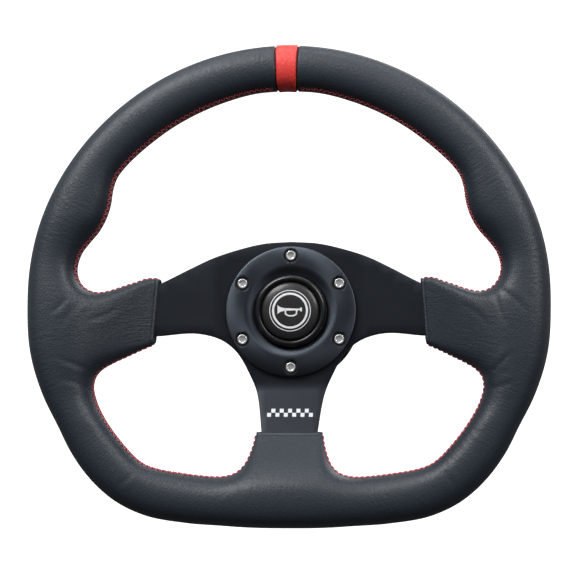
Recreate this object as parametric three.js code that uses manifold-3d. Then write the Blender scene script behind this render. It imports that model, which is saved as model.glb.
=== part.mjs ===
// A flat-bottomed sports steering wheel on a quick release hub, built as separate pieces.
// Millimetres, +Z up. The steering axis is Y: the column is towards +Y and the driver towards -Y.
// The origin is the centre of the hub's rear face, which bolts to the column's boss.
import * as THREE from "three";
import { mergeVertices } from "three/addons/utils/BufferGeometryUtils.js";
import Module from "manifold-3d";

const wasm = await Module();
wasm.setup();

// ---- Driving dimensions ----
const GAP = 0.3; // between pieces that fit inside one another
const ROUND = 26; // segments of a large turned part
const SMALL_ROUND = 12;
const REACH = 400; // longer than anything here, for cutting blocks

const BOLT_CIRCLE_R = 35; // six M5 screws on a 70 mm circle
const BOLT_COUNT = 6;
const SCREW_R = 2.5;
const SCREW_HOLE_R = SCREW_R + GAP;

// Places along the steering axis, from the hub's rear face towards the driver.
const HUB_FLANGE_FRONT = -8;
const SPLINE_FRONT = -20;
const SPIGOT_FRONT = -38;
const BODY_REAR = -9;
const BODY_FLANGE_REAR = -40;
const PLATE_BACK = -46;
const PLATE_THICKNESS = 5;
const PLATE_FRONT = PLATE_BACK - PLATE_THICKNESS;
const DISH = 38; // from the plate's back to the rim's mid-plane
const RIM_Y = PLATE_BACK - DISH;

// Quick release.
const FLANGE_R = 41; // the hub, the body and the horn ring share it
const HUB_CHAMFER = 0.8;
const SPLINE = { minor: 22, major: 24, teeth: 12 };
const SPIGOT = { r: 21, chamfer: 1.5 };
const LOCK_GROOVE = { r: 19.5, rear: -25.4, front: -28.6 };
const LOCK_ROOM = { r: 25.2, rear: -25, front: -29, halfWidth: 4.5 }; // where the lock ring opens
const LOCK_RING = { inner: 19.8, outer: 22.9, split: 2, tab: 3.8, tabReach: 27.2 };
const CONTACT_POCKET = { r: 12, rear: -6 }; // in the spigot, for the horn contact
const LEAD_PLACE = 7; // the column's horn lead, from the axis
const SLEEVE_R = 27;
const SNAP_GROOVE = { r: 26, rear: -10.1, front: -11.5 };
const SNAP_RING = { inner: 26.2, outer: 29.4, thickness: 1, halfSplit: 3 };
const COLLAR = { r: 34, bore: SLEEVE_R + GAP, rear: -12, front: -32 };
const SPRING_POCKET = { r: 31.2, rear: -24 };
const WING = { r: 50, halfWidth: 9, waist: 7, root: 12, thickness: 5 };
const COLLAR_SPRING = { r: 29.3, wire: 0.9, turns: 3, sides: 5, steps: 14 };

// Horn.
const CUP = { r: 22.5, bore: 19.9, rear: -49.5, floor: -51, front: -56 };
const BEZEL_REAR = -56.3;
const CAP = { r: 18.1, bore: 16.1, top: -60.4, underside: -57, skirt: -55.8 };
const CONTACT_HEIGHT = 1.2;
const HORN_SPRING = { r: 5, wire: 0.6, turns: 3, sides: 4, steps: 10, clearance: 0.4 };
const TERMINAL = { from: 6.8, to: 9.2, halfWidth: 1, tip: -46.6 };
const LEAD_R = 0.7;

// Turned profiles as [radius, distance in front of the piece's rear face].
const RING_THICKNESS = 4;
const RING_PROFILE = [
  [22.8, 0], [FLANGE_R, 0], [FLANGE_R, 2.5], [FLANGE_R - 0.6, 3.1], [37.5, 3.7], [33.5, RING_THICKNESS],
  [28.4, RING_THICKNESS], [27.2, 3.7], [24.8, 2.3], [22.8, 1.7],
];
const COUNTERBORE = { r: 4.7, depth: 2.7 };
const SCREW_HEAD = { r: 3.5, height: 2.4, socketR: 2, socketDepth: 1.5 };
const BEZEL_PROFILE = [[18.5, 0], [22.4, 0], [22.4, 2.2], [21.2, 3], [19.1, 3], [18.5, 2.4]];
const COLLAR_PROFILE = [
  [COLLAR.bore, 0], [32.4, 0], [33.4, 1], [33.4, 4], [32.6, 5], [33.4, 6], [33.4, 9], [32.6, 10],
  [COLLAR.r, 11.4], [COLLAR.r, 19.2], [COLLAR.r - 0.8, 20], [COLLAR.bore, 20],
];

// Rim: radii from the steering axis, by degrees from twelve o'clock; both halves are alike.
const OUTER_RADII = [
  [0, 162], [70, 162], [80, 161.3], [90, 160.3], [100, 160.6], [110, 159.4], [117, 158.4],
  [124, 159.6], [132, 159.8], [138, 158.6], [145, 154], [155, 144.8], [165, 137.8], [180, 134.2],
];
const INNER_RADII = [
  [0, 134], [18, 132.9], [50, 133.3], [55, 131.8], [59, 127.3], [63, 124.9], [68, 126], [73, 130.8],
  [79, 133], [85, 132.5], [95, 129.5], [105, 127.5], [112, 129.2], [117, 130.5], [136, 130],
  [141, 126.7], [148, 119.2], [154, 114.2], [160, 109.8], [170, 105], [180, 103.5],
];
const RIM_STATIONS = 48;
const RIM_SIDES = 8;
const RIM_HALF_DEPTH = 14.2;
const LEATHER = 1.5;
const BAND_HALF_ANGLE = 2.4; // degrees; the coloured band at twelve o'clock
const BAND_GAP_ANGLE = 0.12;
const CORE_R = 7; // aluminium ring inside the foam
const CORE_STATIONS = 40;
const CORE_SIDES = 6;
const THREAD_R = 0.9;
const THREAD_STANDOFF = 2.3; // from the leather's edge to the thread's middle

// Spokes: one sheet, bent forwards beyond the hub. Distances are from the steering axis.
const SIDE = { bend: 46, rim: 146, leatherEnd: 81 };
const LOWER = { bend: 48, rim: 119, leatherEnd: 75.3 };
for (const spoke of [SIDE, LOWER]) spoke.slope = (DISH - PLATE_THICKNESS / 2) / (spoke.rim - spoke.bend);
const END_LEAN = 0.08; // a side spoke's leather ends this much further out for each millimetre down
const END_TOP = 20; // the height at which it ends at leatherEnd
const PLATE_BORE_R = 24;
// Right half of the sheet's outline as [x, z]: over the side spoke, under it, and down the lower spoke.
const PLATE_OVER = [[17, 42.9], [34, 39], [48, 34.3], [62, 27.2], [80, 17.4], [100, 8], [138, 4]];
const PLATE_UNDER = [
  [138, -12], [100, -17], [82, -15.8], [59, -13.8], [44, -17.6], [33.8, -25.8], [25.6, -40],
  [21, -51.5], [17.4, -75], [15, -95], [14, -112],
];
const PLATE_TOP = 44;

// Leather-covered roots of the spokes: [distance, low edge, high edge, half thickness, squareness],
// where a squareness of 1 is an ellipse and less is squarer.
const SIDE_ROOT = [
  [SIDE.leatherEnd, -19.4, 20.7, 5.6, 0.6],
  [90, -23.8, 19.3, 6.6, 0.65],
  [100, -28.6, 14.6, 8, 0.75],
  [110, -34.2, 11, 9.4, 0.9],
  [118, -40.6, 10.2, 10.6, 1],
  [124, -50, 13, 11.4, 1],
  [129, -60, 20, 11.8, 1],
  [138, -64, 28, 11.4, 1],
];
const LOWER_ROOT = [
  [LOWER.leatherEnd, -20.6, 20.6, 5.6, 0.6],
  [84, -21.4, 21.4, 6.8, 0.65],
  [93, -24.8, 24.8, 8.6, 0.8],
  [98.5, -30, 30, 9.8, 0.9],
  [102.4, -40, 40, 10.6, 1],
  [112, -50, 50, 11.4, 1],
];
const ROOT_SIDES = 8;
const ROOT_INTO_RIM = 12; // a root's middle reaches the rim's mid-plane this far before the plate would

// ---- Materials ----
function finish(hex, roughness, metalness) {
  return new THREE.MeshStandardMaterial({ color: hex, roughness, metalness });
}
const BLACK_LEATHER = finish(0x1d2023, 0.55, 0);
const RED_LEATHER = finish(0xd8302c, 0.5, 0);
const RED_THREAD = finish(0xb3262a, 0.7, 0);
const FOAM = finish(0x2b2b2b, 0.95, 0);
const BLACK_ANODISED = finish(0x17191d, 0.42, 0.7);
const GLOSS_BLACK = finish(0x0c0c0d, 0.15, 0);
const BARE_METAL = finish(0xb9bbbd, 0.3, 1);
const SPRING_STEEL = finish(0x8d9094, 0.35, 1);
const BRASS = finish(0xb08d4a, 0.35, 1);
const NYLON = finish(0x22242a, 0.6, 0);

// ---- Solids ----

// A closed three.js geometry as a manifold-3d solid that faces out.
function solidOf(geometry) {
  const bare = geometry.index ? geometry.toNonIndexed() : geometry.clone();
  for (const name of Object.keys(bare.attributes)) if (name !== "position") bare.deleteAttribute(name);
  const merged = mergeVertices(bare, 1e-4);
  const index = merged.index.array;
  const faces = [];
  for (let i = 0; i < index.length; i += 3) {
    const [a, b, c] = [index[i], index[i + 1], index[i + 2]];
    if (a !== b && b !== c && c !== a) faces.push([a, b, c]);
  }
  const make = (list) =>
    new wasm.Manifold(
      new wasm.Mesh({
        numProp: 3,
        vertProperties: merged.attributes.position.array,
        triVerts: new Uint32Array(list.flat()),
      }),
    );
  const made = make(faces);
  return made.volume() > 0 ? made : make(faces.map(([a, b, c]) => [a, c, b]));
}

const unite = (solids) => solids.reduce((sum, next) => sum.add(next));
const cut = (solid, cutters) => cutters.reduce((left, next) => left.subtract(next), solid);
const biggest = (solids) => solids.reduce((a, b) => (b.volume() > a.volume() ? b : a));

// Turned about the steering axis from a list of [radius, y], which is closed here if it isn't on the axis.
function turned(profile, segments = ROUND) {
  const closed = profile[0][0] > 0 ? [...profile, profile[0]] : profile;
  return solidOf(new THREE.LatheGeometry(closed.map(([r, y]) => new THREE.Vector2(r, y)), segments));
}

// A profile given as distances in front of a rear face.
const inFront = (rear, profile) => profile.map(([r, distance]) => [r, rear - distance]);

// A plain ring or, where inner is 0, a disc.
function ring(inner, outer, y0, y1, segments = ROUND) {
  return turned([[inner, y0], [outer, y0], [outer, y1], [inner, y1]], segments);
}

// A geometry drawn in its own axes and then carried, point by point, into the wheel's.
function moved(geometry, place) {
  const p = geometry.attributes.position;
  for (let i = 0; i < p.count; i++) p.setXYZ(i, ...place(p.getX(i), p.getY(i), p.getZ(i)));
  return solidOf(geometry);
}

// A shape drawn in X and Z, carried along Y between y0 and y1.
function slab(shape, y0, y1, curveSegments = 6) {
  const depth = Math.abs(y1 - y0);
  const geometry = new THREE.ExtrudeGeometry(shape, { depth, bevelEnabled: false, curveSegments });
  const far = Math.max(y0, y1);
  return moved(geometry, (x, z, along) => [x, far - along, z]);
}

// A bar with its axis along Y, standing at x and z.
function pin(x, z, r, y0, y1, sides = SMALL_ROUND) {
  const geometry = new THREE.CylinderGeometry(r, r, Math.abs(y1 - y0), sides);
  geometry.translate(x, (y0 + y1) / 2, z);
  return solidOf(geometry);
}

function block([x0, x1], [y0, y1], [z0, z1]) {
  const geometry = new THREE.BoxGeometry(x1 - x0, y1 - y0, z1 - z0);
  geometry.translate((x0 + x1) / 2, (y0 + y1) / 2, (z0 + z1) / 2);
  return solidOf(geometry);
}

// A tube along a curve, with flat ends.
function tube(curve, r, sides, steps) {
  const corners = Array.from({ length: sides }, (_, k) => {
    const around = (2 * Math.PI * k) / sides;
    return new THREE.Vector2(r * Math.cos(around), r * Math.sin(around));
  });
  const options = { steps, bevelEnabled: false, extrudePath: curve };
  return solidOf(new THREE.ExtrudeGeometry(new THREE.Shape(corners), options));
}

// Rings with equal counts of points, joined into a skin that is closed on itself or has flat ends.
function loft(rings, closed) {
  const count = rings.length;
  const sides = rings[0].length;
  const faces = [];
  for (let i = 0; i < (closed ? count : count - 1); i++) {
    for (let j = 0; j < sides; j++) {
      const a = i * sides + j;
      const b = i * sides + ((j + 1) % sides);
      const c = ((i + 1) % count) * sides + j;
      const d = ((i + 1) % count) * sides + ((j + 1) % sides);
      faces.push(a, b, c, b, d, c);
    }
  }
  const last = (count - 1) * sides;
  for (let j = 1; !closed && j < sides - 1; j++) faces.push(0, j + 1, j, last, last + j, last + j + 1);
  const geometry = new THREE.BufferGeometry();
  geometry.setAttribute("position", new THREE.Float32BufferAttribute(rings.flat(2), 3));
  geometry.setIndex(faces);
  return solidOf(geometry);
}

// A smooth function through [position, value] pairs.
function through(pairs) {
  const positions = pairs.map((pair) => pair[0]);
  const values = pairs.map((pair) => pair[1]);
  const curve = new THREE.CubicInterpolant(positions, values, 1, new Float32Array(1));
  return (t) => curve.evaluate(t)[0];
}

const group = new THREE.Group();

function add(name, solid, material) {
  const mesh = solid.getMesh();
  const vertices = new Float32Array(mesh.numVert * 3);
  for (let i = 0; i < mesh.numVert; i++) {
    for (let k = 0; k < 3; k++) vertices[i * 3 + k] = mesh.vertProperties[i * mesh.numProp + k];
  }
  const geometry = new THREE.BufferGeometry();
  geometry.setAttribute("position", new THREE.BufferAttribute(vertices, 3));
  geometry.setIndex(new THREE.BufferAttribute(new Uint32Array(mesh.triVerts), 1));
  geometry.computeVertexNormals();
  const made = new THREE.Mesh(geometry, material);
  made.name = name;
  group.add(made);
}

// Places on the bolt circle, the first at twelve o'clock.
const boltPlaces = Array.from({ length: BOLT_COUNT }, (_, k) => {
  const angle = (k * 2 * Math.PI) / BOLT_COUNT;
  return [BOLT_CIRCLE_R * Math.sin(angle), BOLT_CIRCLE_R * Math.cos(angle)];
});

function drilled(solid, r, y0, y1) {
  return cut(solid, boltPlaces.map(([x, z]) => pin(x, z, r, y0, y1)));
}

// ---- Rim ----
const outerRadius = through(OUTER_RADII);
const innerRadius = through(INNER_RADII);
const fromTop = (degrees) => Math.min(degrees, 360 - degrees);

// A point at a radius and an angle from twelve o'clock.
function polar(radius, degrees, y = RIM_Y) {
  const turn = THREE.MathUtils.degToRad(degrees);
  return [radius * Math.sin(turn), y, radius * Math.cos(turn)];
}

// The rim as a ring of oval sections, each in a plane through the steering axis.
function rimSolid(inset) {
  const rings = Array.from({ length: RIM_STATIONS }, (_, i) => {
    const degrees = (360 * i) / RIM_STATIONS;
    const outer = outerRadius(fromTop(degrees));
    const inner = innerRadius(fromTop(degrees));
    const halfWidth = (outer - inner) / 2 - inset;
    return Array.from({ length: RIM_SIDES }, (_, j) => {
      const around = (2 * Math.PI * j) / RIM_SIDES;
      const radius = (outer + inner) / 2 + halfWidth * Math.cos(around);
      return polar(radius, degrees, RIM_Y + (RIM_HALF_DEPTH - inset) * Math.sin(around));
    });
  });
  return loft(rings, true);
}

// The line of the core, which is the middle of the rim.
function corePoint(degrees) {
  const middle = (outerRadius(fromTop(degrees)) + innerRadius(fromTop(degrees))) / 2;
  return new THREE.Vector3(...polar(middle, degrees));
}

const coreLine = Array.from({ length: CORE_STATIONS }, (_, i) => corePoint((360 * i) / CORE_STATIONS));

function coreSolid(r) {
  const rings = coreLine.map((centre, i) => {
    const ahead = coreLine[(i + 1) % CORE_STATIONS].clone().sub(coreLine.at(i - 1)).normalize();
    const across = new THREE.Vector3(ahead.z, 0, -ahead.x);
    return Array.from({ length: CORE_SIDES }, (_, j) => {
      const around = (2 * Math.PI * j) / CORE_SIDES;
      const p = centre.clone().addScaledVector(across, r * Math.cos(around));
      return [p.x, p.y + r * Math.sin(around), p.z];
    });
  });
  return loft(rings, true);
}

// Everything beyond the core's line, which a spoke doesn't reach.
function beyondCore(grow) {
  const scale = 1 + grow / SIDE.rim;
  const shape = new THREE.Shape();
  shape.absarc(0, 0, REACH / 2, 0, 2 * Math.PI);
  shape.holes.push(new THREE.Path(coreLine.map((p) => new THREE.Vector2(p.x * scale, p.z * scale))));
  return slab(shape, -REACH, REACH);
}

add("rim_core", coreSolid(CORE_R), BARE_METAL);

// ---- Spoke plate ----

// The middle of the sheet at a distance along a spoke.
function plateY(distance, spoke) {
  return PLATE_BACK - PLATE_THICKNESS / 2 - Math.max(0, distance - spoke.bend) * spoke.slope;
}

// The sheet's outline, grown outwards all round.
function plateOutline(grow) {
  const corner = PLATE_OVER.length;
  const right = [...PLATE_OVER, ...PLATE_UNDER].map(([x, z], i, all) => {
    const before = all[Math.max(0, i - 1)];
    const after = all[Math.min(all.length - 1, i + 1)];
    const along = new THREE.Vector2(after[0] - before[0], after[1] - before[1]).normalize();
    return new THREE.Vector2(x - along.y * grow, z + along.x * grow);
  });
  const half = new THREE.Shape();
  half.moveTo(0, PLATE_TOP + grow);
  half.splineThru(right.slice(0, corner));
  half.lineTo(right[corner].x, right[corner].y);
  half.splineThru(right.slice(corner + 1));
  const points = half.getPoints(3);
  const left = points.slice(1).reverse().map((p) => new THREE.Vector2(-p.x, p.y));
  return new THREE.Shape([...points, ...left].reverse());
}

// The bent sheet seen edge-on, from inner to reach along a spoke, as distance against y.
function bentProfile(spoke, inner, reach, half) {
  const lean = half * (Math.hypot(1, spoke.slope) - 1); // keeps the sheet's thickness on the slope
  const flat = plateY(0, spoke);
  const far = plateY(reach, spoke);
  return [
    [inner, flat + half], [spoke.bend, flat + half], [reach, far + half + lean],
    [reach, far - half - lean], [spoke.bend, flat - half], [inner, flat - half],
  ].map(([distance, y]) => new THREE.Vector2(distance, y));
}

// A straight bar of the bent profile, as wide as the wheel, for one spoke.
function bentBar(spoke, inner, half, place) {
  const shape = new THREE.Shape(bentProfile(spoke, inner, spoke.rim + 4, half));
  const geometry = new THREE.ExtrudeGeometry(shape, { depth: REACH, bevelEnabled: false });
  return moved(geometry, (distance, y, across) => place(distance, y, across - REACH / 2));
}

function plateSolid(grow) {
  const half = PLATE_THICKNESS / 2 + grow;
  const split = -LOWER.bend + 4; // above this height the sheet follows the side spokes
  const above = block([-REACH, REACH], [-REACH, REACH], [split, REACH]);
  const sides = unite([
    bentBar(SIDE, -1, half, (distance, y, across) => [distance, y, across]),
    bentBar(SIDE, -1, half, (distance, y, across) => [-distance, y, across]),
  ]).intersect(above);
  const lower = bentBar(LOWER, 0, half, (distance, y, across) => [across, y, -distance]).subtract(above);
  return slab(plateOutline(grow), -REACH, REACH, 4)
    .intersect(unite([sides, lower]))
    .subtract(coreSolid(CORE_R + GAP - grow / 2))
    .subtract(beyondCore(grow));
}

const bored = plateSolid(0).subtract(ring(0, PLATE_BORE_R, -REACH, REACH));
add("spoke_plate", drilled(bored, SCREW_HOLE_R, -REACH, REACH), BLACK_ANODISED);

// ---- Grip ----

// A root's middle follows the plate, and runs on into the rim's mid-plane.
function rootY(distance, spoke) {
  const meet = spoke.rim - ROOT_INTO_RIM;
  const share = Math.min(1, (distance - spoke.leatherEnd) / (meet - spoke.leatherEnd));
  return plateY(Math.min(distance, meet), spoke) + share * (RIM_Y - plateY(meet, spoke));
}

function rootSolid(rows, spoke, inset, past, place) {
  const rings = rows.map(([distance, low, high, half, squareness], i) => {
    const start = i === 0 ? past : 0;
    const width = (high - low) / 2 - inset;
    const y = rootY(distance, spoke) + start * spoke.slope;
    const squared = (v) => Math.sign(v) * Math.abs(v) ** squareness;
    return Array.from({ length: ROOT_SIDES }, (_, j) => {
      const around = (2 * Math.PI * (j + 0.5)) / ROOT_SIDES;
      const across = (low + high) / 2 + width * squared(Math.cos(around));
      return place(distance - start, y + (half - inset) * squared(Math.sin(around)), across);
    });
  });
  return loft(rings, false);
}

// The whole grip, shrunk by inset, with its open ends drawn back over the spokes by past.
function gripSolid(inset, past) {
  return unite([
    rimSolid(inset),
    rootSolid(SIDE_ROOT, SIDE, inset, past, (distance, y, across) => [distance, y, across]),
    rootSolid(SIDE_ROOT, SIDE, inset, past, (distance, y, across) => [-distance, y, across]),
    rootSolid(LOWER_ROOT, LOWER, inset, past, (distance, y, across) => [across, y, -distance]),
  ]);
}

// A wedge that holds the band at twelve o'clock.
function topWedge(halfAngle) {
  const half = REACH * Math.tan(THREE.MathUtils.degToRad(halfAngle));
  const corners = [[0, 0], [half, REACH], [-half, REACH]].map(([x, z]) => new THREE.Vector2(x, z));
  return slab(new THREE.Shape(corners), -REACH, REACH);
}

// Everything between the leaning ends of the leather on the side spokes.
function betweenEnds(grow) {
  const corner = (side, z) => {
    const out = SIDE.leatherEnd + grow + END_LEAN * (END_TOP - z);
    return new THREE.Vector2(side * out, z);
  };
  const [low, high] = [-2 * END_TOP, 2 * END_TOP];
  const corners = [corner(-1, low), corner(1, low), corner(1, high), corner(-1, high)];
  return slab(new THREE.Shape(corners), -REACH, REACH);
}

const plateRoom = plateSolid(GAP);
const skin = cut(gripSolid(0, 0), [gripSolid(LEATHER, 2), plateRoom, betweenEnds(0)]);
add("leather_wrap", skin.subtract(topWedge(BAND_HALF_ANGLE + BAND_GAP_ANGLE)), BLACK_LEATHER);
const band = rimSolid(0).subtract(rimSolid(LEATHER)).intersect(topWedge(BAND_HALF_ANGLE));
add("centre_marker_band", band, RED_LEATHER);

// Foam fills the cover round the core and the spokes' ends.
const lowerBare = LOWER.leatherEnd + GAP;
const foamRoom = [
  betweenEnds(GAP),
  block([-60, 60], [-REACH, REACH], [-lowerBare, 0]),
  coreSolid(CORE_R + GAP),
  plateRoom,
];
const foamPieces = cut(gripSolid(LEATHER + GAP, 0), foamRoom).decompose();
add("rim_foam", biggest(foamPieces), FOAM);

// ---- Seam threads: one along the leather's edge in each window ----
const sideHigh = through(SIDE_ROOT.map(([distance, , high]) => [distance, high]));
const sideLow = through(SIDE_ROOT.map(([distance, low]) => [distance, low]));
const besideSpoke = (x, z) => new THREE.Vector3(x, rootY(x, SIDE), z);
const rimEdge = (degrees) => new THREE.Vector3(...polar(innerRadius(degrees) - THREAD_STANDOFF, degrees));

const topHalf = [
  ...[82, 88, 96, 104, 111].map((x) => besideSpoke(x, sideHigh(x) + THREAD_STANDOFF)),
  new THREE.Vector3(118.5, -80.5, 12.2),
  new THREE.Vector3(124.4, -82.4, 16.4),
  new THREE.Vector3(127.4, -83.4, 21.4),
  ...[76, 71, 66, 61, 57.5, 54, 50, 40, 28, 16, 5].map(rimEdge),
];
const topLine = [...topHalf, ...topHalf.map((p) => new THREE.Vector3(-p.x, p.y, p.z)).reverse()];
const lowerLine = [
  ...[86, 92, 100, 108].map((x) => besideSpoke(x, sideLow(x) - THREAD_STANDOFF - GAP)),
  new THREE.Vector3(115, -79.6, -41.4),
  new THREE.Vector3(118, -82.5, -49.5),
  ...[118, 124, 131, 137, 142, 148, 153].map(rimEdge),
  new THREE.Vector3(41.4, -83.4, -100.2),
  new THREE.Vector3(32, -81.4, -96.6),
  ...[[27.4, 91], [24.2, 84], [22.9, 76.5]].map(([x, down]) => new THREE.Vector3(x, rootY(down, LOWER), -down)),
];

function addThread(name, points, steps) {
  const curve = new THREE.CatmullRomCurve3(points, false, "centripetal");
  add(name, tube(curve, THREAD_R, 4, steps), RED_THREAD);
}

addThread("seam_thread_top", topLine, 46);
addThread("seam_thread_right", lowerLine, 28);
addThread("seam_thread_left", lowerLine.map((p) => new THREE.Vector3(-p.x, p.y, p.z)), 28);

// ---- Horn ring and its screws ----
const hornRing = turned(inFront(PLATE_FRONT, RING_PROFILE), 32);
const ringFace = PLATE_FRONT - RING_THICKNESS;
const counterboreFloor = ringFace + COUNTERBORE.depth;
const counterbored = drilled(hornRing, COUNTERBORE.r, -REACH, counterboreFloor);
add("horn_ring", drilled(counterbored, SCREW_HOLE_R, -REACH, REACH), BLACK_ANODISED);

boltPlaces.forEach(([x, z], k) => {
  const top = counterboreFloor - SCREW_HEAD.height;
  const head = pin(x, z, SCREW_HEAD.r, top, counterboreFloor);
  const shank = pin(x, z, SCREW_R, counterboreFloor, BODY_FLANGE_REAR, 8);
  const socket = pin(x, z, SCREW_HEAD.socketR, top - 1, top + SCREW_HEAD.socketDepth, 6);
  add(`wheel_screw_${k + 1}`, head.add(shank).subtract(socket), BARE_METAL);
});

// ---- Horn button ----

// A coil spring about the steering axis between y0 and y1.
function coil({ r, wire, turns, sides, steps }, y0, y1) {
  class Helix extends THREE.Curve {
    getPoint(t, target = new THREE.Vector3()) {
      const around = 2 * Math.PI * turns * t;
      return target.set(r * Math.cos(around), y0 + (y1 - y0) * t, r * Math.sin(around));
    }
  }
  return tube(new Helix(), wire, sides, turns * steps);
}

const cup = turned([
  [0, CUP.rear], [CUP.r, CUP.rear], [CUP.r, CUP.front], [CUP.bore, CUP.front], [CUP.bore, CUP.floor],
  [0, CUP.floor],
]);
const terminalSlot = block([TERMINAL.from - 0.2, TERMINAL.to + 0.2], [-52, -48], [-1.2, 1.2]);
add("horn_cup", cup.subtract(terminalSlot), NYLON);
add("horn_bezel", turned(inFront(BEZEL_REAR, BEZEL_PROFILE), 32), GLOSS_BLACK);
add("horn_cap", turned([
  [0, CAP.top], [15.5, CAP.top + 0.3], [17.4, CAP.top + 1.1], [CAP.r, CAP.top + 2], [CAP.r, CAP.skirt],
  [CAP.bore, CAP.skirt], [CAP.bore, CAP.underside], [0, CAP.underside],
], 32), GLOSS_BLACK);

const width = [-TERMINAL.halfWidth, TERMINAL.halfWidth];
const fixedContact = unite([
  ring(10, 13, CUP.floor, CUP.floor - CONTACT_HEIGHT),
  block([TERMINAL.from, 11], [CUP.floor - 0.8, CUP.floor], width),
  block([TERMINAL.from, TERMINAL.to], [CUP.floor - 0.1, TERMINAL.tip], width),
]);
add("horn_contact_fixed", fixedContact, BRASS);
add("horn_contact_moving", ring(9.4, CAP.bore - GAP, CAP.skirt + 0.4, CAP.skirt + 1.4), BRASS);
const hornSpringRear = CUP.floor - HORN_SPRING.wire - HORN_SPRING.clearance;
const hornSpringFront = CAP.underside + HORN_SPRING.wire + HORN_SPRING.clearance / 2;
add("horn_spring", coil(HORN_SPRING, hornSpringRear, hornSpringFront), SPRING_STEEL);

// ---- Quick release: wheel side ----
function splineBar(minor, major, y0, y1) {
  const pitch = (2 * Math.PI) / SPLINE.teeth;
  const tooth = [[-0.3, minor], [-0.2, major], [0.2, major], [0.3, minor]];
  const corner = (around, r) => new THREE.Vector2(r * Math.cos(around), r * Math.sin(around));
  const corners = Array.from({ length: SPLINE.teeth }, (_, k) =>
    tooth.map(([share, r]) => corner((k + share) * pitch, r)),
  );
  return slab(new THREE.Shape(corners.flat()), y0, y1);
}

const bodyBore = SPIGOT.r + GAP;
const sleeve = turned([
  [bodyBore, BODY_REAR], [SLEEVE_R, BODY_REAR], [SLEEVE_R, SNAP_GROOVE.rear], [SNAP_GROOVE.r, SNAP_GROOVE.rear],
  [SNAP_GROOVE.r, SNAP_GROOVE.front], [SLEEVE_R, SNAP_GROOVE.front], [SLEEVE_R, BODY_FLANGE_REAR],
  [FLANGE_R, BODY_FLANGE_REAR], [FLANGE_R, PLATE_BACK], [bodyBore, PLATE_BACK], [bodyBore, LOCK_ROOM.front],
  [LOCK_ROOM.r, LOCK_ROOM.front], [LOCK_ROOM.r, LOCK_ROOM.rear], [bodyBore, LOCK_ROOM.rear],
]);
const lockWindow = block(
  [-LOCK_ROOM.halfWidth, LOCK_ROOM.halfWidth], [LOCK_ROOM.front, LOCK_ROOM.rear], [SPIGOT.r + 1, SLEEVE_R + 3],
);
const femaleSpline = splineBar(SPLINE.minor + GAP, SPLINE.major + GAP, BODY_REAR + 1, SPLINE_FRONT - 0.5);
const body = cut(sleeve, [femaleSpline, lockWindow]);
add("release_body", drilled(body, SCREW_HOLE_R, BODY_FLANGE_REAR + 1, -REACH), BLACK_ANODISED);

// Split ring that snaps into the spigot's groove; its two turned-out ends reach the collar.
const lockWidth = [LOCK_GROOVE.front + GAP, LOCK_GROOVE.rear - GAP];
const lockTabs = [-1, 1].map((side) => {
  const span = [side * LOCK_RING.split, side * LOCK_RING.tab].sort((a, b) => a - b);
  return block(span, lockWidth, [LOCK_RING.outer - 1.5, LOCK_RING.tabReach]);
});
const lockSplit = block([-LOCK_RING.split, LOCK_RING.split], [-REACH, REACH], [0, REACH]);
const lockRing = ring(LOCK_RING.inner, LOCK_RING.outer, ...lockWidth).subtract(lockSplit);
add("lock_ring", unite([lockRing, ...lockTabs]), SPRING_STEEL);

const snapRear = SNAP_GROOVE.rear - 0.2;
const snapSplit = block([-SNAP_RING.halfSplit, SNAP_RING.halfSplit], [-REACH, REACH], [-REACH, 0]);
const snapRing = ring(SNAP_RING.inner, SNAP_RING.outer, snapRear, snapRear - SNAP_RING.thickness);
add("collar_snap_ring", snapRing.subtract(snapSplit), SPRING_STEEL);
const springRoom = COLLAR_SPRING.wire + 0.1;
const collarSpring = coil(COLLAR_SPRING, SPRING_POCKET.rear - springRoom, BODY_FLANGE_REAR + springRoom);
add("collar_spring", collarSpring, SPRING_STEEL);

// Pull-back collar with a finger wing each side.
function wing(side) {
  const { r, halfWidth, waist, root, thickness } = WING;
  const shape = new THREE.Shape();
  shape.moveTo(side * (COLLAR.r - 4), root);
  shape.quadraticCurveTo(side * (COLLAR.r + 4), waist, side * (r - 6), halfWidth - 0.5);
  shape.quadraticCurveTo(side * r, halfWidth, side * r, 0);
  shape.quadraticCurveTo(side * r, -halfWidth, side * (r - 6), 0.5 - halfWidth);
  shape.quadraticCurveTo(side * (COLLAR.r + 4), -waist, side * (COLLAR.r - 4), -root);
  return slab(shape, COLLAR.front, COLLAR.front + thickness, 4);
}
const collarBlank = unite([turned(inFront(COLLAR.rear, COLLAR_PROFILE)), wing(1), wing(-1)]);
const lockSlot = block(
  [-LOCK_ROOM.halfWidth - 1, LOCK_ROOM.halfWidth + 1],
  [-REACH, SPRING_POCKET.rear + 6.5],
  [COLLAR.bore - 8, COLLAR.r - 4],
);
const springPocket = ring(0, SPRING_POCKET.r, SPRING_POCKET.rear, -REACH);
add("release_collar", cut(collarBlank, [springPocket, lockSlot]), BLACK_ANODISED);

// Insulated carrier with the sprung contact pin, and the lead from the horn contact.
add("contact_carrier", ring(3.3, SPIGOT.r, -40.2, -43), NYLON);
add("contact_barrel", ring(1.8, 3, -39.6, -47.6, SMALL_ROUND), BRASS);
add("contact_pin", ring(0, 1.5, -38.1, -46.4, SMALL_ROUND), BRASS);
const leadRoute = [[8, TERMINAL.tip + GAP], [8, -45.2], [6.8, -44.2], [3.4, -44.2]];
const lead = new THREE.CatmullRomCurve3(leadRoute.map(([x, y]) => new THREE.Vector3(x, y, 0)));
add("horn_lead", tube(lead, LEAD_R, 8, 6), NYLON);

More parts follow.
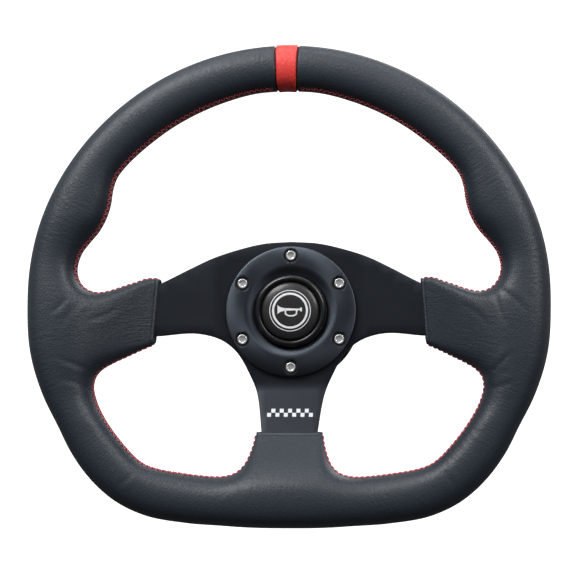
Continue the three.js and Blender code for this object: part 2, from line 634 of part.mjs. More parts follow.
// ---- Quick release: column side ----
const hubBlank = turned([
  [0, 0], [FLANGE_R, 0], [FLANGE_R, HUB_FLANGE_FRONT + HUB_CHAMFER], [FLANGE_R - HUB_CHAMFER, HUB_FLANGE_FRONT],
  [SPIGOT.r, HUB_FLANGE_FRONT], [SPIGOT.r, LOCK_GROOVE.rear], [LOCK_GROOVE.r, LOCK_GROOVE.rear],
  [LOCK_GROOVE.r, LOCK_GROOVE.front], [SPIGOT.r, LOCK_GROOVE.front], [SPIGOT.r, SPIGOT_FRONT + SPIGOT.chamfer],
  [SPIGOT.r - SPIGOT.chamfer, SPIGOT_FRONT], [0, SPIGOT_FRONT],
]);
const maleSpline = splineBar(SPLINE.minor, SPLINE.major, HUB_FLANGE_FRONT + 0.5, SPLINE_FRONT);
const countersinks = boltPlaces.map(([x, z]) => {
  const sink = new THREE.CylinderGeometry(SCREW_HOLE_R, 2 * SCREW_R, 3, SMALL_ROUND);
  sink.translate(x, HUB_FLANGE_FRONT + 1.4, z);
  return solidOf(sink);
});
const hub = cut(hubBlank.add(maleSpline), [
  ...countersinks,
  ring(0, CONTACT_POCKET.r, CONTACT_POCKET.rear, -REACH),
  pin(LEAD_PLACE, 0, 2.5, CONTACT_POCKET.rear - 1, 1),
]);
add("column_hub", drilled(hub, SCREW_HOLE_R, HUB_FLANGE_FRONT - 1, 1), BLACK_ANODISED);
const insulator = ring(0, CONTACT_POCKET.r - GAP, CONTACT_POCKET.rear - GAP, SPIGOT_FRONT + 2.4, 20);
add("contact_insulator", insulator.subtract(pin(LEAD_PLACE, 0, 1.6, -30, 0, 8)), NYLON);
add("contact_disc", ring(0, 10, SPIGOT_FRONT + 2.1, SPIGOT_FRONT + 0.2, 20), BRASS);

export default group;
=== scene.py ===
"""A flat-bottomed leather sports wheel on a quick release hub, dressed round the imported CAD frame.

Sizes are in millimetres until a mesh is made. The axes are the frame's own: +Y is the steering axis,
away from the driver, and +Z is twelve o'clock.
"""

import math
from contextlib import contextmanager

import bmesh
import bpy
import numpy as np
from mathutils import Matrix, Vector
from mathutils.geometry import delaunay_2d_cdt


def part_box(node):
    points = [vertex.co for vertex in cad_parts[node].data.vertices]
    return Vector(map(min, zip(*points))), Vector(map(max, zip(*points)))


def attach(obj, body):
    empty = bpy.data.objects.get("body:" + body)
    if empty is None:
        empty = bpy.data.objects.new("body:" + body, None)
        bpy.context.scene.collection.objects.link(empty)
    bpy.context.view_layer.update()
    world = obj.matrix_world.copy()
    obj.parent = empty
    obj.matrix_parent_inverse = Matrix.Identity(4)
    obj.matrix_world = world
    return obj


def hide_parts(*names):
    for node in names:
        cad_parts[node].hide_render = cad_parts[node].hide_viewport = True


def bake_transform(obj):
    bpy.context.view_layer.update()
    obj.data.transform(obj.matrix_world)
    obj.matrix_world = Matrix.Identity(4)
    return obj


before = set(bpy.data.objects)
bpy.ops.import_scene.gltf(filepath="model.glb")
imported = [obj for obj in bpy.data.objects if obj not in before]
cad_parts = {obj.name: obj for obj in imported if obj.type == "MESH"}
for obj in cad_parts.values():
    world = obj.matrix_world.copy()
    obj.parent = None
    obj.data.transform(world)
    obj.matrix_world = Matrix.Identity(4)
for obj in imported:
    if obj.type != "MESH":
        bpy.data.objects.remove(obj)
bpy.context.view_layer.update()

MM = 0.001


# ---- Places that come from the frame ----
def extent(node, axis):
    low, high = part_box(node)
    return low[axis] / MM, high[axis] / MM


def middle(node, axis):
    return sum(extent(node, axis)) / 2


RIM_Y = middle("centre_marker_band", 1)
PLATE_BACK = extent("spoke_plate", 1)[1]
RING_FRONT, RING_BACK = extent("horn_ring", 1)
RING_R = extent("horn_ring", 0)[1]
CAP_TOP, CAP_SKIRT = extent("horn_cap", 1)
BEZEL_FRONT, BEZEL_BACK = extent("horn_bezel", 1)
COLLAR_FRONT, COLLAR_REAR = extent("release_collar", 1)
BODY_FRONT, BODY_REAR = extent("release_body", 1)
HUB_FRONT, HUB_REAR = extent("column_hub", 1)
SCREW_PLACES = [(middle(f"wheel_screw_{k}", 0), middle(f"wheel_screw_{k}", 2)) for k in range(1, 7)]

# ---- Grip: outlines seen from the driver's seat; both halves are alike ----
# Radius of the outer edge by degrees from twelve o'clock.
OUTER_EDGE = [
    (0, 162), (35, 162), (70, 162), (80, 161.3), (90, 160.3), (100, 160.6), (110, 159.4), (117, 158.2),
    (124, 159.3), (131, 159.6), (138, 158.2), (145, 154), (155, 144.8), (165, 137.8), (180, 134.2),
]
# Right half of the top window from the spoke's leather end to twelve o'clock, as x and z.
TOP_WINDOW = [
    (81, 20), (89, 19.6), (95, 17.2), (101, 15), (111, 11.2), (118.5, 10), (124.5, 12.2), (128.8, 17.5),
    (130.2, 25), (127.6, 34), (122.4, 41), (116.7, 47.5), (112, 55.5), (109.2, 64.5), (108, 73), (105.6, 80.6),
    (101, 87), (93, 95), (84, 102.6), (73, 110.7), (58, 119.3), (40, 126.9), (20, 132.4), (0, 134),
]
# Right lower window from the side spoke's leather end round to the lower spoke's.
LOWER_WINDOW = [
    (81, -19.6), (90, -23.6), (100, -28.7), (109, -33.4), (115, -37.4), (118.6, -42), (119.6, -48.3), (116.9, -58),
    (110.3, -70), (100.5, -83), (91.5, -92.4), (86, -96), (78, -98.6), (64, -101), (50, -102.7), (40, -103),
    (32, -101), (26.6, -96), (23.4, -89), (21.4, -82), (20.6, -75.3),
]
SIDE_END = 81.0  # where the leather stops on a side spoke, at the height END_TOP
END_TOP = 20.0
END_LEAN = 0.08  # it stops this much further out for each millimetre down
LOWER_END = 75.3
STUB = 20.0  # the outline runs on this far under the spoke, and is cut off again
SIDE_MERGE = 131.0  # where the grip's mid-surface along a spoke has come down to the rim's
LOWER_MERGE = 108.0
SIDE_BEND = 46.0  # where the plate starts forwards
LOWER_BEND = 48.0
PLATE_THICK = 5.0
PLATE_MID = PLATE_BACK - PLATE_THICK / 2
SIDE_SLOPE = (PLATE_MID - RIM_Y) / (146 - SIDE_BEND)
LOWER_SLOPE = (PLATE_MID - RIM_Y) / (119 - LOWER_BEND)
RIM_FULLNESS = 17.0  # how thick the grip can get, before it is stretched by DEPTH
END_FULLNESS = 4.6  # the same at a leather end
DEPTH = 1.1
LEATHER = 1.3  # thickness
BAND_ANGLE = math.radians(2.4)  # each side of twelve o'clock
BAND_GAP = 0.15  # added to each side of the band
BAND_LOOPS = [-1.6, -0.7]  # loops of edges inside the band's edge
BAND_TUCK = 1.1  # how far the leather is drawn in at the band
BAND_LIFT = 0.4  # how proud the band stands
FAR = 99.0  # stands for the distance to an edge that a point has nothing to do with
GRID = 1.0  # spacing of the grip's height map
CELL = 1.25  # spacing of the leather's surface
FOAM_CELL = 2.4
FOAM_DEPTH = LEATHER + 0.25  # the foam's surface under the leather's
FOAM_BACK = 0.6  # the foam stops this far inside the leather's ends

# ---- Stitching ----
STITCH = 3.3  # from one stitch to the next
THREAD = 0.38  # the thread's radius
SEAM_HALF = 2.1  # half the seam's width where the grip is thick
SEAM_REST = 1.6  # bare length at the end of a seam
BAND_CLEAR = 8.2  # the top row stops this far each side of twelve o'clock


# ---------------------------------------------------------------- small tools
TINY = 1e-6
BLUNT = math.radians(165)


def smoothstep(low, high, value):
    t = np.clip((value - low) / (high - low), 0, 1)
    return t * t * (3 - 2 * t)


def mirrored(points):
    return [(-x, z) for x, z in points]


def spline(points, step=1.5):
    """A centripetal Catmull-Rom curve through the points, as an array of close points."""
    p = np.array(points, float)
    p = np.vstack([2 * p[0] - p[1], p, 2 * p[-1] - p[-2]])
    out = []
    for i in range(1, len(p) - 2):
        p0, p1, p2, p3 = p[i - 1 : i + 3]
        t0 = 0.0
        t1 = t0 + math.sqrt(np.linalg.norm(p1 - p0))
        t2 = t1 + math.sqrt(np.linalg.norm(p2 - p1))
        t3 = t2 + math.sqrt(np.linalg.norm(p3 - p2))
        count = max(1, int(round(np.linalg.norm(p2 - p1) / step)))
        for t in np.linspace(t1, t2, count, endpoint=False):
            a1 = (t1 - t) / (t1 - t0) * p0 + (t - t0) / (t1 - t0) * p1
            a2 = (t2 - t) / (t2 - t1) * p1 + (t - t1) / (t2 - t1) * p2
            a3 = (t3 - t) / (t3 - t2) * p2 + (t - t2) / (t3 - t2) * p3
            b1 = (t2 - t) / (t2 - t0) * a1 + (t - t0) / (t2 - t0) * a2
            b2 = (t3 - t) / (t3 - t1) * a2 + (t - t1) / (t3 - t1) * a3
            out.append((t2 - t) / (t2 - t1) * b1 + (t - t1) / (t2 - t1) * b2)
    out.append(p[-2])
    return np.array(out)


def make_object(name, vertices, faces, material, smooth=True):
    """A mesh object from points in millimetres."""
    mesh = bpy.data.meshes.new(name)
    mesh.from_pydata((np.asarray(vertices, float) * MM).tolist(), [], [list(map(int, f)) for f in faces])
    mesh.update()
    piece = bpy.data.objects.new(name, mesh)
    bpy.context.scene.collection.objects.link(piece)
    if material:
        mesh.materials.append(material)
    mesh.polygons.foreach_set("use_smooth", [smooth] * len(mesh.polygons))
    return piece


@contextmanager
def editing(mesh):
    """The mesh as a bmesh, written back at the end."""
    bm = bmesh.new()
    bm.from_mesh(mesh)
    yield bm
    bm.to_mesh(mesh)
    bm.free()


def face_out(piece):
    with editing(piece.data) as bm:
        bmesh.ops.recalc_face_normals(bm, faces=bm.faces)


def apply_modifiers(piece):
    evaluated = piece.evaluated_get(bpy.context.evaluated_depsgraph_get())
    mesh = bpy.data.meshes.new_from_object(evaluated)
    old = piece.data
    piece.modifiers.clear()
    piece.data = mesh
    bpy.data.meshes.remove(old)


def sharpen(piece, degrees=32):
    """Smooth shading that keeps edges sharper than the angle."""
    mesh = piece.data
    mesh.polygons.foreach_set("use_smooth", [True] * len(mesh.polygons))
    with editing(mesh) as bm:
        for edge in bm.edges:
            if len(edge.link_faces) == 2:
                edge.smooth = edge.calc_face_angle(0) < math.radians(degrees)


def softened(profile, radius, steps=3):
    """A profile of (r, y) with its corners rounded; corners on the axis and very blunt ones stay."""
    points = [np.array(p, float) for p in profile]
    out = []
    for i, here in enumerate(points):
        before, after = points[i - 1], points[(i + 1) % len(points)]
        a, b = before - here, after - here
        la, lb = np.linalg.norm(a), np.linalg.norm(b)
        if here[0] < TINY or la < TINY or lb < TINY:
            out.append(tuple(here))
            continue
        a, b = a / la, b / lb
        if math.acos(np.clip(np.dot(a, b), -1, 1)) > BLUNT:
            out.append(tuple(here))
            continue
        cut = min(radius, la * 0.45, lb * 0.45)
        start, end = here + a * cut, here + b * cut
        for t in np.linspace(0, 1, steps + 1):
            out.append(tuple((1 - t) ** 2 * start + 2 * t * (1 - t) * here + t**2 * end))
    return out


def turned(name, profile, material=None, radius=0.0, segments=128):
    """A body turned about the steering axis from a closed profile of (r, y), its corners rounded to the radius."""
    profile = softened(profile, radius) if radius else profile
    rings = []
    vertices = []
    for r, y in profile:
        if r < TINY:
            rings.append([len(vertices)] * segments)
            vertices.append((0, y, 0))
        else:
            rings.append(list(range(len(vertices), len(vertices) + segments)))
            vertices += [(x, y, z) for x, z in circle(0, 0, r, segments)]
    faces = []
    for i, one in enumerate(rings):
        two = rings[(i + 1) % len(rings)]
        if one[0] == one[-1] and two[0] == two[-1]:
            continue
        for k in range(segments):
            n = (k + 1) % segments
            corners = [one[k], one[n], two[n], two[k]]
            faces.append([c for j, c in enumerate(corners) if c != corners[j - 1]])
    piece = make_object(name, vertices, faces, material)
    face_out(piece)
    sharpen(piece)
    return piece


def slab(outline, y0, y1):
    """Vertices and faces of an outline of (x, z) carried along Y."""
    count = len(outline)
    vertices = [(x, y, z) for y in (y0, y1) for x, z in outline]
    faces = [list(range(count)), list(range(2 * count - 1, count - 1, -1))]
    faces += [[i, (i + 1) % count, count + (i + 1) % count, count + i] for i in range(count)]
    return vertices, faces


def prism(name, outline, y0, y1, material=None):
    piece = make_object(name, *slab(outline, y0, y1), material, smooth=False)
    face_out(piece)
    return piece


def circle(x, z, r, count=48):
    turn = [2 * math.pi * k / count for k in range(count)]
    return [(x + r * math.sin(a), z + r * math.cos(a)) for a in turn]


def combine(piece, others, operation):
    """Boolean of the piece with others, which are used up."""
    for other in others:
        modifier = piece.modifiers.new("boolean", "BOOLEAN")
        modifier.operation = operation
        modifier.solver = "EXACT"
        modifier.object = other
    apply_modifiers(piece)
    for other in others:
        mesh = other.data
        bpy.data.objects.remove(other)
        bpy.data.meshes.remove(mesh)
    sharpen(piece)


def cut_away(piece, cutters):
    combine(piece, cutters, "DIFFERENCE")


def join_solids(piece, others):
    combine(piece, others, "UNION")


def soften_edges(piece, width, degrees=40):
    bevel = piece.modifiers.new("edge", "BEVEL")
    bevel.width = width * MM
    bevel.segments = 2
    bevel.limit_method = "ANGLE"
    bevel.angle_limit = math.radians(degrees)
    bevel.use_clamp_overlap = True
    apply_modifiers(piece)
    sharpen(piece)


def fit(piece, body, slot, *nodes):
    """Rides the piece on the body, in place of the nodes. The slot is not used."""
    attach(piece, body)
    if nodes:
        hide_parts(*nodes)


def sweep(points, radius, sides=8):
    """Vertices and faces of a closed tube along the points."""
    p = np.array(points, float)
    along = np.gradient(p, axis=0)
    along /= np.linalg.norm(along, axis=1)[:, None]
    side = np.cross(along[0], (0.3, 0.8, 0.5))
    side /= np.linalg.norm(side)
    vertices = []
    for centre, ahead in zip(p, along):
        side = side - ahead * np.dot(side, ahead)
        side /= np.linalg.norm(side)
        other = np.cross(ahead, side)
        for k in range(sides):
            a = 2 * math.pi * k / sides
            vertices.append(centre + radius * (math.cos(a) * side + math.sin(a) * other))
    faces = []
    for low in range(0, (len(p) - 1) * sides, sides):
        for k in range(sides):
            n = (k + 1) % sides
            faces.append([low + k, low + n, low + sides + n, low + sides + k])
    faces.append(list(range(sides))[::-1])
    faces.append([(len(p) - 1) * sides + k for k in range(sides)])
    return vertices, faces


class Bundle:
    """Gathers many small solids into one mesh."""

    def __init__(self):
        self.vertices = []
        self.faces = []

    def add(self, vertices, faces):
        start = len(self.vertices)
        self.vertices.extend(vertices)
        self.faces.extend([[start + i for i in face] for face in faces])


# ---------------------------------------------------------------- materials
class Shader:
    """A Principled material with short ways to add the nodes that feed it."""

    def __init__(self, name, color, roughness, metallic=0.0, **sockets):
        self.material = bpy.data.materials.new(name)
        self.material.use_nodes = True
        self.nodes = self.material.node_tree.nodes
        self.links = self.material.node_tree.links
        self.bsdf = self.nodes["Principled BSDF"]
        self.bsdf.inputs["Base Color"].default_value = (*color, 1)
        self.bsdf.inputs["Roughness"].default_value = roughness
        self.bsdf.inputs["Metallic"].default_value = metallic
        for socket, value in sockets.items():
            self.bsdf.inputs[socket.replace("_", " ")].default_value = value
        self.place = self.nodes.new("ShaderNodeTexCoord").outputs["Object"]
        self.bump = None

    def scaled(self, factors, place=None):
        """Object coordinates in millimetres times factors."""
        node = self.nodes.new("ShaderNodeMapping")
        node.inputs["Scale"].default_value = [1000 * f for f in factors]
        self.links.new(place or self.place, node.inputs["Vector"])
        return node.outputs["Vector"]

    def noise(self, scale, detail=3.0, roughness=0.5, vector=None, distortion=0.0):
        """Noise of this many lumps per millimetre."""
        node = self.nodes.new("ShaderNodeTexNoise")
        node.inputs["Scale"].default_value = scale
        node.inputs["Detail"].default_value = detail
        node.inputs["Roughness"].default_value = roughness
        node.inputs["Distortion"].default_value = distortion
        self.links.new(vector or self.scaled((1, 1, 1)), node.inputs["Vector"])
        return node.outputs["Fac"]

    def pebbles(self, scale):
        node = self.nodes.new("ShaderNodeTexVoronoi")
        node.feature = "SMOOTH_F1"
        node.inputs["Scale"].default_value = scale
        self.links.new(self.scaled((1, 1, 1)), node.inputs["Vector"])
        return node.outputs["Distance"]

    def math(self, operation, *values):
        node = self.nodes.new("ShaderNodeMath")
        node.operation = operation
        for socket, value in zip(node.inputs, values):
            if isinstance(value, (int, float)):
                socket.default_value = value
            else:
                self.links.new(value, socket)
        return node.outputs["Value"]

    def ramp(self, value, low, high, a, b):
        """Maps value from low..high to a..b, held at the ends."""
        node = self.nodes.new("ShaderNodeMapRange")
        node.inputs["From Min"].default_value = low
        node.inputs["From Max"].default_value = high
        node.inputs["To Min"].default_value = a
        node.inputs["To Max"].default_value = b
        self.links.new(value, node.inputs["Value"])
        return node.outputs["Result"]

    def colour(self, value, low, high, dark, light):
        """Base colour that runs from dark to light as value goes from low to high."""
        node = self.nodes.new("ShaderNodeMix")
        node.data_type = "RGBA"
        self.links.new(self.ramp(value, low, high, 0.0, 1.0), node.inputs["Factor"])
        ends = {"A": (*dark, 1), "B": (*light, 1)}
        for socket in node.inputs:
            if socket.type == "RGBA":
                socket.default_value = ends[socket.name]
        result = next(s for s in node.outputs if s.type == "RGBA")
        self.links.new(result, self.bsdf.inputs["Base Color"])

    def rough(self, value, low, high, a, b):
        """Roughness that runs from a to b as value goes from low to high."""
        self.links.new(self.ramp(value, low, high, a, b), self.bsdf.inputs["Roughness"])

    def relief(self, height, depth):
        """Adds a bump of this depth, in millimetres, on top of any before it."""
        node = self.nodes.new("ShaderNodeBump")
        node.inputs["Strength"].default_value = 1.0
        node.inputs["Distance"].default_value = depth * MM
        self.links.new(height, node.inputs["Height"])
        if self.bump:
            self.links.new(self.bump, node.inputs["Normal"])
        self.bump = node.outputs["Normal"]
        self.links.new(self.bump, self.bsdf.inputs["Normal"])


GRIP_R = 146.0  # the grip's middle, from the steering axis
CREASE_STRETCH = 0.2  # a crease's width as a share of its length, which runs across the rim


def leather(name, dark, light, roughness):
    """Fine-grained leather, pulled tight round the rim, so its creases run across the rim."""
    s = Shader(name, dark, roughness, Specular_IOR_Level=0.5)
    split = s.nodes.new("ShaderNodeSeparateXYZ")
    s.links.new(s.place, split.inputs["Vector"])
    x, y, z = split.outputs
    turn = s.math("ARCTAN2", x, z)
    away = s.math("SQRT", s.math("ADD", s.math("MULTIPLY", x, x), s.math("MULTIPLY", z, z)))
    around = s.nodes.new("ShaderNodeCombineXYZ")
    for axis, value, factor in (("X", turn, GRIP_R * MM), ("Y", away, CREASE_STRETCH), ("Z", y, CREASE_STRETCH)):
        s.links.new(s.math("MULTIPLY", value, factor), around.inputs[axis])
    creases = s.noise(0.55, 3, 0.5, s.scaled((1, 1, 1), around.outputs["Vector"]), 0.3)
    where = s.ramp(s.noise(0.03, 2, 0.5), 0.42, 0.62, 0.15, 1.0)
    s.relief(s.math("MULTIPLY", creases, where), 0.26)
    s.relief(s.pebbles(0.85), 0.11)
    s.relief(s.noise(2.4, 2), 0.05)
    mottle = s.noise(0.5, 4, 0.6)
    s.colour(mottle, 0.35, 0.65, dark, light)
    s.rough(mottle, 0.3, 0.7, roughness + 0.06, roughness - 0.05)
    return s.material


def anodised(name, dark, light, roughness, metallic, **sockets):
    """Bead-blasted and anodised aluminium: a fine even tooth with faint clouding."""
    s = Shader(name, dark, roughness, metallic, **sockets)
    s.colour(s.noise(0.06, 3), 0.35, 0.65, dark, light)
    tooth = s.noise(3.2, 2)
    s.rough(tooth, 0.3, 0.7, roughness - 0.05, roughness + 0.06)
    s.relief(tooth, 0.02)
    return s.material


def turned_satin(name, dark, light, roughness):
    """Satin anodised metal with turning marks, so that it catches the light in two opposite sectors."""
    s = Shader(name, dark, roughness, 1.0, Anisotropic=0.75)
    tangent = s.nodes.new("ShaderNodeTangent")
    tangent.direction_type = "RADIAL"
    tangent.axis = "Y"
    s.links.new(tangent.outputs["Tangent"], s.bsdf.inputs["Tangent"])
    s.colour(s.noise(0.06, 3), 0.35, 0.65, dark, light)
    s.relief(s.noise(3.2, 2), 0.012)
    return s.material


def brushed(name, dark, light, roughness, streaks):
    """Turned metal: fine lines round the steering axis."""
    s = Shader(name, dark, roughness, 1.0)
    lines = s.noise(1.0, 3, 0.6, s.scaled(streaks))
    s.colour(lines, 0.3, 0.7, dark, light)
    s.rough(lines, 0.3, 0.7, roughness - 0.05, roughness + 0.08)
    s.relief(lines, 0.012)
    return s.material


def moulded(name, dark, light, roughness, tooth_mm, **sockets):
    """Moulded plastic or foam with a light skin texture."""
    s = Shader(name, dark, roughness, 0.0, **sockets)
    skin = s.noise(1.1, 3)
    s.colour(skin, 0.3, 0.7, dark, light)
    s.rough(s.noise(0.15, 3), 0.35, 0.65, roughness, roughness + 0.05)
    s.relief(skin, tooth_mm)
    return s.material


def twisted_thread(name, dark, light):
    """Thick twisted thread: slanted strands with a soft sheen."""
    s = Shader(name, dark, 0.55, 0.0, Sheen_Weight=0.25, Sheen_Roughness=0.4)
    strands = s.noise(2.2, 3, 0.6, s.scaled((1.0, 1.6, 1.0)))
    s.colour(strands, 0.3, 0.7, dark, light)
    s.relief(strands, 0.12)
    return s.material


BLACK_LEATHER = leather("black_leather", (0.014, 0.02, 0.029), (0.02, 0.028, 0.038), 0.45)
RED_LEATHER = leather("red_leather", (0.66, 0.035, 0.03), (0.8, 0.06, 0.045), 0.45)
RED_THREAD = twisted_thread("red_thread", (0.36, 0.035, 0.045), (0.7, 0.12, 0.13))
SATIN_BLACK = anodised(
    "satin_black", (0.008, 0.0098, 0.014), (0.0105, 0.0125, 0.0175), 0.4, 0.4,
    Specular_IOR_Level=0.38, Specular_Tint=(0.86, 0.93, 1, 1),
)
RING_BLACK = turned_satin("ring_black", (0.058, 0.066, 0.08), (0.07, 0.08, 0.097), 0.36)
RELEASE_BLACK = anodised("release_black", (0.016, 0.016, 0.018), (0.022, 0.022, 0.025), 0.38, 0.6)
RELEASE_RED = anodised("release_red", (0.5, 0.016, 0.014), (0.62, 0.03, 0.024), 0.33, 0.75)
GLOSS_BLACK = moulded("gloss_black", (0.004, 0.004, 0.005), (0.006, 0.006, 0.007), 0.2, 0.003)
CAP_BLACK = moulded("cap_black", (0.011, 0.01, 0.01), (0.015, 0.014, 0.013), 0.32, 0.004, Coat_Weight=0.2)
WHITE_PRINT = moulded("white_print", (0.75, 0.76, 0.77), (0.82, 0.83, 0.84), 0.35, 0.004)
SILVER_PRINT = moulded("silver_print", (0.62, 0.64, 0.66), (0.72, 0.74, 0.76), 0.3, 0.004)
STAINLESS = brushed("stainless", (0.86, 0.86, 0.85), (0.96, 0.96, 0.95), 0.3, (2.0, 2.0, 2.0))
SPRING_STEEL = brushed("spring_steel", (0.3, 0.31, 0.33), (0.5, 0.51, 0.53), 0.34, (1.0, 6.0, 1.0))
BRASS = brushed("brass", (0.6, 0.42, 0.16), (0.76, 0.56, 0.26), 0.3, (1.0, 6.0, 1.0))
BARE_ALUMINIUM = brushed("bare_aluminium", (0.6, 0.61, 0.62), (0.72, 0.73, 0.74), 0.38, (1.0, 4.0, 1.0))
NYLON = moulded("nylon", (0.012, 0.012, 0.014), (0.02, 0.02, 0.023), 0.5, 0.03)
FOAM = moulded("foam", (0.015, 0.015, 0.015), (0.03, 0.03, 0.03), 0.9, 0.12)


# ---------------------------------------------------------------- the grip's shape
def outer_outline():
    turn = np.radians(np.arange(0, 360, 0.75))
    degrees = np.degrees(turn)
    from_top = np.minimum(degrees, 360 - degrees)
    knots = [(-a, r) for a, r in reversed(OUTER_EDGE[1:])] + list(OUTER_EDGE)
    knots += [(360 - a, r) for a, r in reversed(OUTER_EDGE[:-1])]
    curve = spline(knots, 1.0)
    radius = np.interp(from_top, curve[:, 0], curve[:, 1])
    return np.stack([radius * np.sin(turn), radius * np.cos(turn)], 1)


def seam_lines():
    """The windows' leather edges: the top one from left to right, and the lower right and left ones."""
    half = spline(TOP_WINDOW, 1.2)
    top = np.vstack([half * (-1, 1), half[::-1][1:]])
    right = spline(LOWER_WINDOW, 1.2)
    return top, right, right * (-1, 1)


def inner_outline():
    """One closed line round everything inside the leather: the three windows and the bare spokes."""
    top, right, left = seam_lines()
    inset = SIDE_END - STUB
    low = LOWER_END - STUB
    side_high, side_low = TOP_WINDOW[0][1], LOWER_WINDOW[0][1]
    foot = LOWER_WINDOW[-1][0]
    bridge = [(inset, side_high), (inset, side_low)]
    lower = [(foot, -low), (-foot, -low)]
    return np.vstack([top, bridge, right, lower, left[::-1], mirrored(bridge[::-1])])


def inside_outline(x, z, outline):
    """Which points lie inside a closed outline."""
    inside = np.zeros(x.shape, bool)
    for (ax, az), (bx, bz) in zip(outline, np.roll(outline, -1, axis=0)):
        if abs(bz - az) > 1e-12:
            inside ^= ((az > z) != (bz > z)) & (x < ax + (z - az) / (bz - az) * (bx - ax))
    return inside


def signed_distance(x, z, outline):
    """Distance to a closed outline, positive inside it."""
    best = np.full(x.shape, 1e9)
    for (ax, az), (bx, bz) in zip(outline, np.roll(outline, -1, axis=0)):
        ex, ez = bx - ax, bz - az
        length = ex * ex + ez * ez
        if length < 1e-12:
            continue
        wx, wz = x - ax, z - az
        t = np.clip((wx * ex + wz * ez) / length, 0, 1)
        best = np.minimum(best, (wx - t * ex) ** 2 + (wz - t * ez) ** 2)
    distance = np.sqrt(best)
    return np.where(inside_outline(x, z, outline), distance, -distance)


def inflated(distance, rounds=260, over=1.86):
    """Height of a sheet blown up over the region, by over-relaxation. Twice it is the half thickness squared."""
    d = distance / GRID
    inside = d > 0
    near = {}
    for key, (axis, shift) in {"e": (0, -1), "w": (0, 1), "n": (1, -1), "s": (1, 1)}.items():
        other = np.roll(d, shift, axis)
        near[key] = np.where(other > 0, 1.0, np.clip(d / (d - np.minimum(other, -1e-6)), 0.08, 1.0))
    e, w, n, s = (near[k] for k in "ewns")
    ce, cw = 2 / (e * (e + w)), 2 / (w * (e + w))
    cn, cs = 2 / (n * (n + s)), 2 / (s * (n + s))
    centre = 2 / (e * w) + 2 / (n * s)
    value = np.zeros_like(d)
    i, j = np.indices(d.shape)
    colours = [inside & ((i + j) % 2 == k) for k in (0, 1)]
    for _ in range(rounds):
        for colour in colours:
            total = ce * np.roll(value, -1, 0) + cw * np.roll(value, 1, 0)
            total += cn * np.roll(value, -1, 1) + cs * np.roll(value, 1, 1)
            fresh = (total + 1.0) / centre
            value = np.where(colour, value + over * (fresh - value), value)
    return value * GRID * GRID


def blurred(field, sigma):
    reach = int(3 * sigma / GRID) + 1
    weights = np.exp(-0.5 * (np.arange(-reach, reach + 1) * GRID / sigma) ** 2)
    weights /= weights.sum()
    for axis in (0, 1):
        field = sum(w * np.roll(field, k, axis) for w, k in zip(weights, range(-reach, reach + 1)))
    return field


def plate_y(distance, bend, slope):
    return PLATE_MID - np.maximum(0, distance - bend) * slope


def rising_mid(distance, leather_end, rim, bend, slope):
    """The grip's mid-surface along a spoke: the plate's, then a line to the rim, with an easy curve into it."""
    start = plate_y(leather_end, bend, slope)
    line = start + (distance - leather_end) / (rim - leather_end) * (RIM_Y - start)
    above = np.where(distance < leather_end, plate_y(distance, bend, slope), line) - RIM_Y
    return RIM_Y + (above + np.sqrt(above**2 + 20)) / 2


